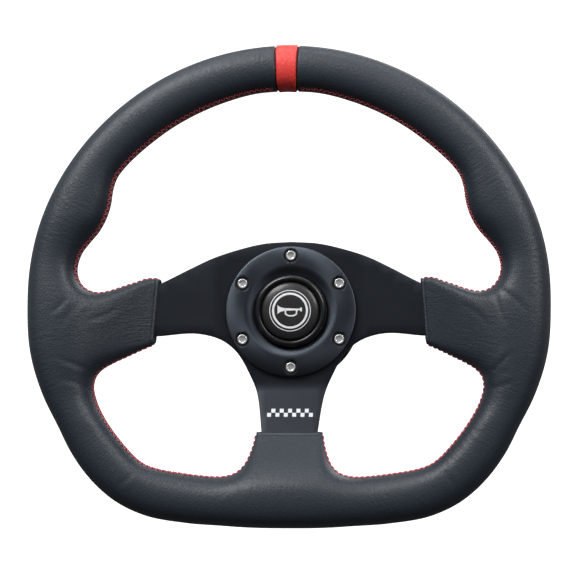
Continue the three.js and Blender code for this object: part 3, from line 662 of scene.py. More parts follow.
class GripField:
    """The grip as a height map: half thickness squared, and the mid-surface's y, over x and z."""

    def __init__(self):
        self.low = (-172.0, -146.0)
        xs = np.arange(self.low[0], 172.5, GRID)
        zs = np.arange(self.low[1], 174.5, GRID)
        x, z = np.meshgrid(xs, zs, indexing="ij")
        outer = signed_distance(x, z, outer_outline())
        hole = signed_distance(x, z, inner_outline())
        distance = np.minimum(outer, -hole)
        swell = 2 * inflated(distance)
        trusted = distance > 0.9
        steep = np.where(trusted, swell / np.maximum(distance, 0.9), 0)
        weight = trusted.astype(float)
        fine = blurred(steep, 1.4) / np.maximum(blurred(weight, 1.4), 1e-9)
        wide = blurred(steep, 5.0) / np.maximum(blurred(weight, 5.0), 1e-9)
        steep = np.where(blurred(weight, 1.4) > 0.02, fine, wide)
        steep = np.maximum(steep, 12)
        blend = smoothstep(4, 7, distance)
        raw = (1 - blend) * distance * steep + blend * swell
        fullness, self.mid = self.posture(x, z)
        limited = raw / np.sqrt(1 + (np.maximum(raw, 0) / fullness**2) ** 2)
        self.square = np.where(raw > 0, limited, raw)
        self.fullness = fullness

    @staticmethod
    def posture(x, z):
        """How thick the grip may get, and where its mid-surface lies."""
        across = np.abs(x)
        side = smoothstep(56, 26, z) * smoothstep(-72, -38, z)
        side_y = rising_mid(across, SIDE_END, SIDE_MERGE, SIDE_BEND, SIDE_SLOPE)
        lower = smoothstep(84, 20, across) * smoothstep(-40, -60, z)
        lower_y = rising_mid(-z, LOWER_END, LOWER_MERGE, LOWER_BEND, LOWER_SLOPE)
        mid = RIM_Y + side * (side_y - RIM_Y) + (1 - side) * lower * (lower_y - RIM_Y)
        thin_side = side * (1 - smoothstep(76, 132, across))
        thin_lower = lower * (1 - smoothstep(72, LOWER_MERGE, -z))
        thin = np.maximum(thin_side, thin_lower)
        return RIM_FULLNESS + (END_FULLNESS - RIM_FULLNESS) * thin, mid

    def sample(self, field, x, z):
        """Catmull-Rom interpolation of a field."""
        u, v = (x - self.low[0]) / GRID, (z - self.low[1]) / GRID
        i, j = (np.clip(np.floor(w).astype(int), 1, n - 3) for w, n in zip((u, v), field.shape))

        def weights(t):
            return [
                -0.5 * t + t * t - 0.5 * t**3,
                1 - 2.5 * t * t + 1.5 * t**3,
                0.5 * t + 2 * t * t - 1.5 * t**3,
                -0.5 * t * t + 0.5 * t**3,
            ]

        wu, wv = weights(u - i), weights(v - j)
        total = 0
        for a in range(4):
            for b in range(4):
                total = total + wu[a] * wv[b] * field[i + a - 1, j + b - 1]
        return total

    def value(self, p):
        square = self.sample(self.square, p[:, 0], p[:, 2])
        mid = self.sample(self.mid, p[:, 0], p[:, 2])
        return square - ((p[:, 1] - mid) / DEPTH) ** 2

    def slope(self, p):
        step = 0.35
        out = np.empty_like(p)
        for axis in range(3):
            shift = np.zeros(3)
            shift[axis] = step
            out[:, axis] = (self.value(p + shift) - self.value(p - shift)) / (2 * step)
        return out

    def settle(self, p, rounds=4):
        """Moves points onto the surface."""
        for _ in range(rounds):
            slope = self.slope(p)
            size = np.maximum((slope**2).sum(1), 1e-6)
            move = (self.value(p) / size)[:, None] * slope
            length = np.linalg.norm(move, axis=1)
            move *= np.minimum(1, 1.5 / np.maximum(length, 1e-9))[:, None]
            p = p - move
        return p

    def outward(self, p):
        slope = -self.slope(p)
        return slope / np.maximum(np.linalg.norm(slope, axis=1), 1e-9)[:, None]


def surface_nets(values, origin, step):
    """Quads round the zero level of a block of values, with a point in each cell that it crosses."""
    solid = values > 0
    cells = np.zeros(tuple(n - 1 for n in values.shape), np.uint8)
    corners = [(a, b, c) for a in (0, 1) for b in (0, 1) for c in (0, 1)]
    nx, ny, nz = cells.shape
    for a, b, c in corners:
        cells += solid[a : a + nx, b : b + ny, c : c + nz]
    active = np.argwhere((cells > 0) & (cells < 8))
    index = np.full(cells.shape, -1, np.int64)
    index[tuple(active.T)] = np.arange(len(active))
    value = {c: values[tuple((active + c).T)] for c in corners}
    total = np.zeros((len(active), 3))
    count = np.zeros(len(active))
    for one in corners:
        for axis in range(3):
            if one[axis]:
                continue
            two = tuple(1 if k == axis else one[k] for k in range(3))
            u, v = value[one], value[two]
            crossed = (u > 0) != (v > 0)
            t = np.where(crossed, u / np.where(crossed, u - v, 1), 0)
            point = np.array(one, float) + np.outer(t, np.eye(3)[axis])
            total += np.where(crossed[:, None], point, 0)
            count += crossed
    points = origin + step * (active + total / count[:, None])
    quads = []
    for axis in range(3):
        low = [slice(1, -1)] * 3
        low[axis] = slice(0, -1)
        high = list(low)
        high[axis] = slice(1, None)
        a, b = solid[tuple(low)], solid[tuple(high)]
        where = np.argwhere(a != b)
        offset = np.array([1, 1, 1])
        offset[axis] = 0
        where = where + offset
        rising = b[tuple((where - offset).T)]
        p, q = [k for k in range(3) if k != axis]
        back = np.zeros((2, 3), int)
        back[0, p] = 1
        back[1, q] = 1
        ring = [where - back[0] - back[1], where - back[1], where, where - back[0]]
        quad = np.stack([index[tuple(r.T)] for r in ring], 1)
        flip = rising if axis != 1 else ~rising
        quad[flip] = quad[flip][:, ::-1]
        quads.append(quad)
    return points, np.vstack(quads)


def evened(field, points, quads, rounds=4):
    """Slides points along the surface until they are evenly spread."""
    pairs = np.vstack([quads[:, [k, (k + 1) % 4]] for k in range(4)])
    for _ in range(rounds):
        total = np.zeros_like(points)
        for axis in range(3):
            total[:, axis] = np.bincount(pairs[:, 0], points[pairs[:, 1], axis], len(points))
            total[:, axis] += np.bincount(pairs[:, 1], points[pairs[:, 0], axis], len(points))
        count = np.bincount(pairs.ravel(), minlength=len(points))
        points = 0.4 * points + 0.6 * total / count[:, None]
        points = field.settle(points, 2)
    return points


def grip_skin(field, cell):
    """The whole grip as one surface in millimetres, from cells of this size."""
    low = np.array([-166.0, RIM_Y - 20, -138.0])
    high = np.array([166.0, PLATE_MID + 8, 166.0])
    axes = [np.arange(low[k], high[k], cell) for k in range(3)]
    x, z = np.meshgrid(axes[0], axes[2], indexing="ij")
    square = field.sample(field.square, x, z)
    mid = field.sample(field.mid, x, z)
    values = square[:, None, :] - ((axes[1][None, :, None] - mid[:, None, :]) / DEPTH) ** 2
    points, quads = surface_nets(values, low, cell)
    return evened(field, field.settle(points), quads), quads


def split_mesh(bm, where, point, normal):
    """Adds a loop of edges where a plane meets the faces that where() picks."""
    faces = [f for f in bm.faces if where(f.calc_center_median())]
    geometry = faces + list({e for f in faces for e in f.edges}) + list({v for f in faces for v in f.verts})
    bmesh.ops.bisect_plane(bm, geom=geometry, dist=1e-5, plane_co=point, plane_no=normal)


def drop_faces(bm, where):
    faces = [f for f in bm.faces if where(f.calc_center_median())]
    bmesh.ops.delete(bm, geom=faces, context="FACES")
    loose = [v for v in bm.verts if not v.link_faces]
    bmesh.ops.delete(bm, geom=loose, context="VERTS")


END_LOOPS = [0.0, 0.35, 0.9, 1.7, 2.6]  # millimetres from a leather edge
EDGE_TUCK = [0.5, 0.12, 0.0, 0.3, 0.0]  # how far each loop is drawn in


def edge_tuck(distance):
    return np.interp(distance, END_LOOPS, EDGE_TUCK)


def past_side_end(x, z):
    """Millimetres beyond the leaning end of a side spoke's leather."""
    return (abs(x) - SIDE_END - END_LEAN * (END_TOP - z)) / math.hypot(1, END_LEAN)


def near_side(c):
    return abs(c.z) < 0.034 and 0.05 < abs(c.x) < 0.105


def near_lower(c):
    return abs(c.x) < 0.034 and -0.1 < c.z < -0.05


def cut_side_ends(bm, distance):
    """Adds a loop of edges this far outside the side spokes' leather ends."""
    start = SIDE_END + END_LEAN * END_TOP + distance * math.hypot(1, END_LEAN)
    for sign in (1, -1):
        split_mesh(bm, near_side, (sign * start * MM, 0, 0), (sign, 0, END_LEAN))


def build_foam(field):
    """The foam under the leather, on coarser cells and closed at the spokes."""
    points, quads = grip_skin(field, FOAM_CELL)
    foam = make_object("foam_filling", points - field.outward(points) * FOAM_DEPTH, quads, FOAM)
    lower = -(LOWER_END + FOAM_BACK) * MM
    with editing(foam.data) as bm:
        cut_side_ends(bm, FOAM_BACK)
        split_mesh(bm, near_lower, (0, 0, lower), (0, 0, -1))
        drop_faces(bm, lambda c: near_side(c) and past_side_end(c.x / MM, c.z / MM) < FOAM_BACK)
        drop_faces(bm, lambda c: near_lower(c) and c.z > lower)
        bmesh.ops.holes_fill(bm, edges=[e for e in bm.edges if e.is_boundary], sides=0)
        bmesh.ops.recalc_face_normals(bm, faces=bm.faces)
    sharpen(foam, 50)
    fit(foam, "wheel", "foam", "rim_foam")


def near_band(c):
    return c.z > 0.12 and abs(c.x) < 0.02


def past_band(x, z):
    """Millimetres outside the edge of the band at twelve o'clock, negative inside it."""
    return abs(x) * math.cos(BAND_ANGLE) - z * math.sin(BAND_ANGLE) - BAND_GAP


def build_grip():
    field = GripField()
    points, quads = grip_skin(field, CELL)
    skin = make_object("leather_cover", points, quads, BLACK_LEATHER)
    bm = bmesh.new()
    bm.from_mesh(skin.data)
    for loop in END_LOOPS:
        cut_side_ends(bm, loop)
        split_mesh(bm, near_lower, (0, 0, -(LOWER_END + loop) * MM), (0, 0, -1))
    for sign in (1, -1):
        across = Vector((math.cos(BAND_ANGLE), 0, -sign * math.sin(BAND_ANGLE)))
        for loop in [*BAND_LOOPS, *END_LOOPS]:
            split_mesh(bm, near_band, across * (sign * (loop + BAND_GAP) * MM), across)
    drop_faces(bm, lambda c: near_side(c) and past_side_end(c.x / MM, c.z / MM) < 0)
    drop_faces(bm, lambda c: near_lower(c) and c.z > -LOWER_END * MM)
    band = bm.copy()
    drop_faces(bm, lambda c: near_band(c) and past_band(c.x / MM, c.z / MM) < 0)
    drop_faces(band, lambda c: not (near_band(c) and past_band(c.x / MM, c.z / MM) < 0))

    place = np.array([v.co for v in bm.verts]) / MM
    out = field.outward(place)
    x, z = np.abs(place[:, 0]), place[:, 2]
    to_side = np.where((np.abs(z) < 34) & (x < 105) & (x > 50), past_side_end(x, z), FAR)
    to_lower = np.where((x < 34) & (z > -100) & (z < -50), -z - LOWER_END, FAR)
    to_band = np.where((z > 120) & (x < 20), past_band(x, z), FAR)
    tuck = edge_tuck(np.clip(np.minimum(to_side, to_lower), 0, 3)) + BAND_TUCK * smoothstep(BAND_TUCK, 0, to_band)
    moved = place - out * tuck[:, None] + out * wrinkles(place)[:, None]
    write_back(bm, moved, skin)

    stripe = make_object("centre_band", [(0, 0, 0)], [], RED_LEATHER)
    place = np.array([v.co for v in band.verts]) / MM
    inner = -past_band(place[:, 0], place[:, 2])
    lift = BAND_LIFT - 1.0 * (1 - smoothstep(-0.2, 0.8, inner))
    write_back(band, place + field.outward(place) * lift[:, None], stripe)
    for piece in (skin, stripe):
        piece.data.polygons.foreach_set("use_smooth", [True] * len(piece.data.polygons))
        shell = piece.modifiers.new("thickness", "SOLIDIFY")
        shell.thickness = LEATHER * MM
        shell.offset = -1
        apply_modifiers(piece)
    return field, skin, stripe


def write_back(bm, places, piece):
    """Moves the points to these places in millimetres, and gives the mesh to the piece."""
    for v, place in zip(bm.verts, places):
        v.co = place * MM
    bm.to_mesh(piece.data)
    bm.free()


# Long soft creases where the leather is drawn round a corner: start x, z, end x, z, depth in millimetres.
CREASES = [
    (128, 12, 146, -6, 0.35),
    (124, 8, 137, -16, 0.28),
    (121, -40, 140, -28, 0.32),
    (119, -50, 141, -44, 0.25),
    (104, 2, 126, -12, 0.2),
    (30, -106, 44, -122, 0.05),
    (24, -100, 26, -120, 0.04),
    (92, -98, 104, -112, 0.22),
]


def wrinkles(p):
    """Relief of the creases at the corners, in millimetres."""
    x, z = p[:, 0], p[:, 2]
    total = np.zeros(len(p))
    for ax, az, bx, bz, depth in CREASES:
        for sign in (1, -1):
            start, end = np.array((sign * ax, az)), np.array((sign * bx, bz))
            along = end - start
            length = np.linalg.norm(along)
            along = along / length
            u = (x - start[0]) * along[0] + (z - start[1]) * along[1]
            v = -(x - start[0]) * along[1] + (z - start[1]) * along[0]
            v = v + 1.4 * np.sin(u * 0.16 + ax)
            fade = smoothstep(0, 5, u) * smoothstep(length, length * 0.55, u)
            total -= depth * fade * np.exp(-((v / 1.5) ** 2))
            total += 0.5 * depth * fade * np.exp(-(((v - 3.4) / 2.2) ** 2))
    return total


# ---------------------------------------------------------------- stitching
def arc_positions(line, first):
    """Distances along the line at which stitches start, and its length up to each of its points."""
    steps = np.linalg.norm(np.diff(line, axis=0), axis=1)
    length = np.concatenate([[0], np.cumsum(steps)])
    last = length[-1] - SEAM_REST
    count = int(round((last - first) / STITCH))
    return np.linspace(first, last, count + 1)[:-1], length


def seam_frame(line, length, where):
    """Points on the line, and the way into the window."""

    def at(distance):
        return np.stack([np.interp(distance, length, line[:, k]) for k in (0, 1)], 1)

    along = at(where + 0.8) - at(where - 0.8)
    along /= np.linalg.norm(along, axis=1)[:, None]
    return at(where), np.stack([along[:, 1], -along[:, 0]], 1)


def stitched_seam(name, node, field, line, flip, first, forward):
    """Crossed stitches along a window's edge, over the butted edges of the leather.

    The row starts first millimetres along the line, and lies forward of the grip's middle by that share of
    its fullness. Flip is -1 where the line runs the other way round its window.
    """
    starts, length = arc_positions(line, first)
    bundle = Bundle()

    def seam(position, side):
        """A point on the leather at this distance along the seam, on one side of it."""
        here, into = seam_frame(line, length, position)
        into = into * flip
        fullness = field.sample(field.fullness, here[:, 0], here[:, 1])
        mid = field.sample(field.mid, here[:, 0], here[:, 1])
        spread = np.clip(fullness / 11, 0.5, 1) * SEAM_HALF
        y = mid - forward * fullness + side * spread
        inset = ((y - mid) / DEPTH) ** 2 / 28
        guess = np.stack([here[:, 0] - into[:, 0] * inset, y, here[:, 1] - into[:, 1] * inset], 1)
        return field.settle(guess)

    share = np.linspace(0, 1, 6)
    centre = seam_frame(line, length, starts + STITCH / 2)[0]
    starts = starts[(np.abs(centre[:, 0]) > BAND_CLEAR) | (centre[:, 1] < 100)]
    for side in (1, -1):
        position = starts[:, None] + share * (STITCH * 0.8)
        across = np.broadcast_to(side * (1 - 2 * share), position.shape)
        path = seam(position.ravel(), across.ravel())
        rise = 0.12 + (0.26 if side > 0 else 0.12) * np.sin(np.pi * share)
        rise[0] = rise[-1] = -0.35
        lifted = path + field.outward(path) * np.tile(rise, len(starts))[:, None]
        for strand in lifted.reshape(len(starts), len(share), 3):
            bundle.add(*sweep(strand, THREAD, 7))
    piece = make_object(name, bundle.vertices, bundle.faces, RED_THREAD)
    face_out(piece)
    fit(piece, "wheel", "red_thread", node)


def build_stitching(field):
    top, right, left = seam_lines()
    stitched_seam("stitches_top", "seam_thread_top", field, top, 1, SEAM_REST, 0.26)
    stitched_seam("stitches_right", "seam_thread_right", field, right, -1, 5.2, 0.2)
    stitched_seam("stitches_left", "seam_thread_left", field, left, 1, 5.2, 0.2)


# ---------------------------------------------------------------- spoke plate
PLATE_TOP = [(0, 44), (17, 42.9), (34, 39), (48, 34.3), (62, 27.2), (80, 17.4), (100, 8)]
PLATE_UNDER = [
    (100, -16.6), (82, -15.8), (59, -13.8), (44, -17.6), (33.8, -25.8), (25.6, -40), (21, -51.5), (17.4, -75),
    (15.4, -92),
]
PLATE_BORE = 24
EDGE_MARGIN = 2.5  # inner points keep this far from the plate's edges


def inward(outline):
    """Unit normals of a closed outline that runs clockwise, pointing into it."""
    along = np.roll(outline, -1, axis=0) - np.roll(outline, 1, axis=0)
    along /= np.linalg.norm(along, axis=1)[:, None]
    return np.stack([along[:, 1], -along[:, 0]], 1)


def plate_outline():
    top = spline(PLATE_TOP, 2.0)
    under = np.vstack([[PLATE_UNDER[0]], spline(PLATE_UNDER[1:], 2.0)])
    half = np.vstack([top, under])
    return np.vstack([half, (half * (-1, 1))[::-1][:-1]])


PLATE_EDGE = [(0.6, 0), (0.3, 0.08), (0.08, 0.3), (0, 0.6)]  # rounding: inset from the outline, and depth


def build_plate():
    """The spokes' sheet: a rounded edge round the outline and the bore, a face each side, then the bends."""
    half = PLATE_THICK / 2
    outline = plate_outline()
    bore = np.array(circle(0, 0, PLATE_BORE, 72))[::-1]
    rings = [(inset, -half + depth) for inset, depth in PLATE_EDGE]
    rings += [(inset, half - depth) for inset, depth in reversed(PLATE_EDGE)]
    vertices, faces = [], []
    for line in (outline, bore):
        normal = inward(line)
        start, count = len(vertices), len(line)
        for inset, y in rings:
            vertices += [(x, y, z) for x, z in line + normal * inset]
        for i in range(len(rings) - 1):
            for k in range(count):
                n = (k + 1) % count
                low, high = start + i * count, start + (i + 1) * count
                faces.append([low + k, low + n, high + n, high + k])
    edge_inset = PLATE_EDGE[0][0]
    loops = [line + inward(line) * edge_inset for line in (outline, bore)]
    steps = np.concatenate([np.arange(-100, -50, 6.0), np.arange(-50, -41, 1.5), np.arange(-38, 39, 6.0)])
    across = np.unique(np.round(np.concatenate([steps, -steps]), 2))
    grid = np.array([(x, z) for x in across for z in steps])
    keep = inside_outline(*grid.T, outline + inward(outline) * EDGE_MARGIN)
    keep &= np.linalg.norm(grid, axis=1) > PLATE_BORE + EDGE_MARGIN
    flat = np.vstack([*loops, grid[keep]])
    first = len(loops[0])
    borders = [(k, (k + 1) % first) for k in range(first)]
    borders += [(first + k, first + (k + 1) % len(bore)) for k in range(len(bore))]
    made = delaunay_2d_cdt([Vector(p) for p in flat], borders, [], 0, 1e-5)
    points = np.array([tuple(v) for v in made[0]])
    triangles = [list(face) for face in made[2]]
    centres = np.array([points[face].mean(0) for face in triangles])
    wanted = inside_outline(*centres.T, loops[0]) & ~inside_outline(*centres.T, loops[1])
    for y in (-half, half):
        start = len(vertices)
        vertices += [(x, y, z) for x, z in points]
        faces += [[start + i for i in face] for face, use in zip(triangles, wanted) if use]
    piece = make_object("spokes", vertices, faces, SATIN_BLACK)
    with editing(piece.data) as bm:
        bmesh.ops.remove_doubles(bm, verts=bm.verts, dist=1e-6)
        bmesh.ops.delete(bm, geom=[v for v in bm.verts if not v.link_faces], context="VERTS")
        bmesh.ops.recalc_face_normals(bm, faces=bm.faces)
        for v in bm.verts:
            x, z = abs(v.co.x) / MM, v.co.z / MM
            drop = rounded_bend(x - SIDE_BEND) * SIDE_SLOPE + rounded_bend(-z - LOWER_BEND) * LOWER_SLOPE
            v.co.y = v.co.y + (PLATE_MID - drop) * MM
    sharpen(piece, 40)
    fit(piece, "wheel", "satin_black_anodised", "spoke_plate")


def rounded_bend(past, half=4):
    """Distance past a bend, with the bend itself rounded over this length each side."""
    if past <= -half:
        return 0.0
    if past >= half:
        return past
    return (past + half) ** 2 / (4 * half)


# A chequered strip inlaid on the lower spoke.
CHEQUER = {"cell": 2.6, "filled": 0.94, "rows": 2, "columns": 11, "z": -63.4, "front": -0.12, "back": 0.1}


def build_chequer():
    bundle = Bundle()
    cell = CHEQUER["cell"]
    half = cell * CHEQUER["filled"] / 2
    for row in range(CHEQUER["rows"]):
        for column in range(CHEQUER["columns"]):
            if (row + column) % 2:
                continue
            x = (column - (CHEQUER["columns"] - 1) / 2) * cell
            z = CHEQUER["z"] + (row - 0.5) * cell
            square = [(x + dx * half, z + dz * half) for dx, dz in ((-1, -1), (1, -1), (1, 1), (-1, 1))]
            bundle.add(*slab(square, CHEQUER["front"], CHEQUER["back"]))
    raised = [
        (x, y + float(plate_y(-z, LOWER_BEND, LOWER_SLOPE)) - PLATE_THICK / 2, z) for x, y, z in bundle.vertices
    ]
    piece = make_object("chequered_strip", raised, bundle.faces, SILVER_PRINT, smooth=False)
    face_out(piece)
    fit(piece, "wheel", "bare_aluminium")


# ---------------------------------------------------------------- horn ring, screws and button
def place_copy(piece, name, x, z, turn):
    copy = bpy.data.objects.new(name, piece.data.copy())
    bpy.context.scene.collection.objects.link(copy)
    copy.data.transform(Matrix.Translation((x * MM, 0, z * MM)) @ Matrix.Rotation(turn, 4, "Y"))
    return copy


RING_BORE = 22.8
COUNTERBORE = {"r": 4.7, "floor": RING_BACK - 1.3}
SCREW_HOLE_R = 2.8
HEAD = {"r": 3.25, "chamfer": 2.9, "depth": 0.7, "socket": 2.1}
# Sizes of the black cups that sit in the counterbores as painted shade round the screw heads.
SHADE_LINER = {"outer": 4.62, "inner": 4.3, "hole": 3.35, "base": 0.3, "below": 0.9}


def build_horn_ring():
    """The ring falls away outside r 31.5, and is dished inside r 29.4."""
    face, dish = RING_FRONT, 1.5
    profile = [(RING_BORE, RING_BACK), (RING_R, RING_BACK), (RING_R, face + 1.6), (RING_R - 0.35, face + 1.05)]
    profile += [(r, face + 0.0125 * max(0, r - 31.5) ** 2) for r in (39.5, 37.5, 35.5, 33.5, 31.5, 29.6)]
    profile += [(r, face + dish * float(smoothstep(29.4, 21.5, r))) for r in np.linspace(29.0, 23.6, 9)]
    profile += [(RING_BORE, face + dish)]
    ring = turned("hub_ring", profile, RING_BLACK, 0.3, 160)
    cutters = []
    for x, z in SCREW_PLACES:
        cutters.append(prism("sink", circle(x, z, COUNTERBORE["r"]), COUNTERBORE["floor"], RING_BACK - 8))
        cutters.append(prism("hole", circle(x, z, SCREW_HOLE_R), RING_BACK + 2, RING_BACK - 8))
    cut_away(ring, cutters)
    soften_edges(ring, 0.22)
    fit(ring, "wheel", "satin_black_anodised", "horn_ring")


def build_shade_liners():
    """Black cups in the ring's counterbores, round the screw heads: dark parts put where there is only shade, as
    painted shade in the counterbores.
    """
    floor = COUNTERBORE["floor"]
    shade_liners = []
    for x, z in SCREW_PLACES:
        shade_liner = prism("screw_shade_liners", circle(x, z, SHADE_LINER["outer"]), floor, RING_FRONT + SHADE_LINER["below"], NYLON)
        cut_away(shade_liner, [prism("well", circle(x, z, SHADE_LINER["inner"]), floor - SHADE_LINER["base"], RING_FRONT)])
        cut_away(shade_liner, [prism("hole", circle(x, z, SHADE_LINER["hole"]), floor + 1, RING_FRONT)])
        shade_liners.append(shade_liner)
    join_solids(shade_liners[0], shade_liners[1:])
    fit(shade_liners[0], "wheel", "nylon")


def build_screws():
    floor = COUNTERBORE["floor"]
    top, bottom = extent("wheel_screw_1", 1)
    profile = [
        (0, bottom), (2.1, bottom), (2.5, bottom - 0.5), (2.5, floor), (HEAD["r"], floor),
        (HEAD["r"], top + HEAD["depth"]), (HEAD["chamfer"], top), (0, top),
    ]
    screw = turned("screw", profile, STAINLESS, 0.18, 48)
    socket = prism("socket", circle(0, 0, HEAD["socket"], 6), top - 1, top + 1.6)
    cone = turned("cone", [(0, top - 0.2), (2.4, top - 0.2), (0, top + 1.1)], segments=32)
    cut_away(screw, [socket, cone])
    for k, (x, z) in enumerate(SCREW_PLACES):
        copy = place_copy(screw, f"screw_{k + 1}", x, z, 0.35 * k)
        fit(copy, "wheel", "stainless", f"wheel_screw_{k + 1}")
    bpy.data.objects.remove(screw)


def print_ring(inner, outer, y0, y1, count=96):
    """Vertices and faces of a flat raised ring."""
    corners = ((inner, y1), (inner, y0), (outer, y0), (outer, y1))
    vertices = [(x, y, z) for r, y in corners for x, z in circle(0, 0, r, count)]
    faces = []
    for i in range(4):
        low, high = i * count, (i + 1) % 4 * count
        for k in range(count):
            n = (k + 1) % count
            faces.append([low + k, low + n, high + n, high + k])
    return vertices, faces


def dome(r):
    """How far the horn cap's face falls away from its middle."""
    return 0.018 * max(0, r - 8.5) ** 2


def build_horn_button():
    skirt, top = CAP_SKIRT, CAP_TOP
    cap_profile = [(r, top + dome(r)) for r in (0, 3, 6, 9, 12, 14, 15.6)]
    cap_profile += [
        (17, top + 1.4), (18.05, top + 2.4), (18.05, skirt), (16.1, skirt), (16.1, top + 3.3), (0, top + 3.3),
    ]
    cap = turned("horn_cap_dome", cap_profile, CAP_BLACK, 0.5)
    fit(cap, "horn_button", "gloss_black", "horn_cap")

    front, back = BEZEL_FRONT, BEZEL_BACK
    bezel_profile = [
        (18.5, back), (22.3, back), (22.3, front + 1.4), (21.4, front + 0.35), (20.4, front), (19.3, front + 0.25),
        (18.5, front + 1.2),
    ]
    bezel = turned("horn_bezel_ring", bezel_profile, GLOSS_BLACK, 0.3)
    fit(bezel, "wheel", "gloss_black", "horn_bezel")

    mark = Bundle()
    for inner, outer in ((12.4, 12.9), (9.9, 11.2)):
        mark.add(*print_ring(inner, outer, top - 0.06, top + 0.3))
    for shape in bugle():
        mark.add(*slab(shape, top - 0.05, top + 0.25))
    raised = [(x, y + dome(math.hypot(x, z)), z) for x, y, z in mark.vertices]
    emblem = make_object("horn_emblem", raised, mark.faces, WHITE_PRINT, smooth=False)
    face_out(emblem)
    fit(emblem, "horn_button", "bare_aluminium")


def bugle():
    """Outlines of the common pictogram of a horn: a bell, a mouthpiece, and a looped tube with its two legs."""
    bell = [
        (-7.8, 3.6), (-7.4, 3.0), (-5.6, 2.0), (-3.4, 1.5), (6.4, 1.2), (6.4, 0.2), (-3.4, -0.1), (-5.6, -0.6),
        (-7.4, -1.6), (-7.8, -2.2),
    ]
    mouthpiece = [(6.4, 1.9), (7.4, 2.0), (7.4, -0.6), (6.4, -0.5)]

    def arc(r, height, turn):
        return [(r * 1.25 * math.cos(a) + 0.6, height * math.sin(a) - 1.6) for a in turn]

    turn = np.linspace(0.12, -math.pi - 0.12, 22)
    loop = arc(3.2, 2.1, turn) + arc(2.35, 1.25, turn[::-1])
    legs = [[(x - 0.5, 0.3), (x + 0.5, 0.3), (x + 0.5, -1.7), (x - 0.5, -1.7)] for x in (-2.9, 4.1)]
    return [bell, mouthpiece, loop, *legs]


# ---------------------------------------------------------------- quick release
WING = [(30, 13), (36, 8.6), (42, 8.6), (47.5, 6.4), (49.9, 0), (47.5, -6.4), (42, -8.6), (36, -8.6), (30, -13)]
COLLAR_BORE = 27.3
POCKET_R = 31.2  # the return spring's pocket, open to the front
POCKET_DEPTH = 12  # how far in front of the collar's rear face the pocket starts


def build_collar():
    """A collar with three grip grooves, flutes above and below, a wing each side and a slot for the lock's tab."""
    front, rear = COLLAR_FRONT, COLLAR_REAR
    pocket = rear - POCKET_DEPTH
    profile = [(COLLAR_BORE, rear), (32.6, rear), (33.4, rear - 0.8), (33.4, rear - 3)]
    for groove in range(3):
        y = rear - 3.4 - groove * 2.6
        profile += [(33.4, y), (32.4, y - 0.7), (32.4, y - 1.2), (33.4, y - 1.9)]
    profile += [
        (34, rear - 11.6), (34, front + 0.9), (33.1, front), (POCKET_R, front), (POCKET_R, pocket),
        (COLLAR_BORE, pocket),
    ]
    collar = turned("pull_collar", profile, RELEASE_RED, 0.25, 160)
    edge = spline(WING, 0.8)
    join_solids(collar, [prism("wing", edge * (sign, 1), front + 0.2, front + 4.8) for sign in (1, -1)])
    room = [(0, pocket), (POCKET_R, pocket), (POCKET_R, front - 3), (0, front - 3)]
    cutters = [turned("room", room, segments=96)]
    cutters.append(prism("tab_slot", [(-5.5, 20), (5.5, 20), (5.5, 30), (-5.5, 30)], rear - 5.5, front - 3))
    for k in range(40):
        a = 2 * math.pi * (k + 0.5) / 40
        if abs(math.sin(a)) <= 0.9:
            flute = circle(34.6 * math.sin(a), 34.6 * math.cos(a), 1.1, 12)
            cutters.append(prism("flute", flute, front + 8.6, rear + 1))
    cut_away(collar, cutters)
    soften_edges(collar, 0.3)
    fit(collar, "collar", "satin_black_anodised", "release_collar")


SLEEVE_R = 27  # the collar slides on this
GROOVE_R = 26  # the snap ring sits in this
FLANGE_R = 41
CHAMFER = 0.8
SPIGOT_R = 21


def build_release_body():
    rear, front = BODY_REAR, BODY_FRONT + 0.05
    back = BODY_FRONT + 6
    profile = [
        (21.3, rear), (SLEEVE_R - 0.6, rear), (SLEEVE_R, rear - 0.6), (SLEEVE_R, rear - 1.1), (GROOVE_R, rear - 1.1),
        (GROOVE_R, rear - 2.5), (SLEEVE_R, rear - 2.5), (SLEEVE_R, back), (FLANGE_R - CHAMFER, back),
        (FLANGE_R, back - CHAMFER), (FLANGE_R, front), (21.3, front),
    ]
    body = turned("wheel_coupling", profile, RELEASE_BLACK, 0.25)
    cutters = [prism("tap", circle(x, z, 2.75, 32), BODY_FRONT - 2, BODY_FRONT + 8) for x, z in SCREW_PLACES]
    cutters.append(prism("teeth", spline_outline(22.3, 24.3), rear + 2, rear - 11.5))
    cut_away(body, cutters)
    soften_edges(body, 0.2)
    fit(body, "wheel", "satin_black_anodised", "release_body")


def spline_outline(minor, major, teeth=12):
    outline = []
    for k in range(teeth):
        for share, r in ((-0.3, minor), (-0.2, major), (0, major), (0.2, major), (0.3, minor), (0.5, minor)):
            a = (k + share) * 2 * math.pi / teeth
            outline.append((r * math.cos(a), r * math.sin(a)))
    return outline


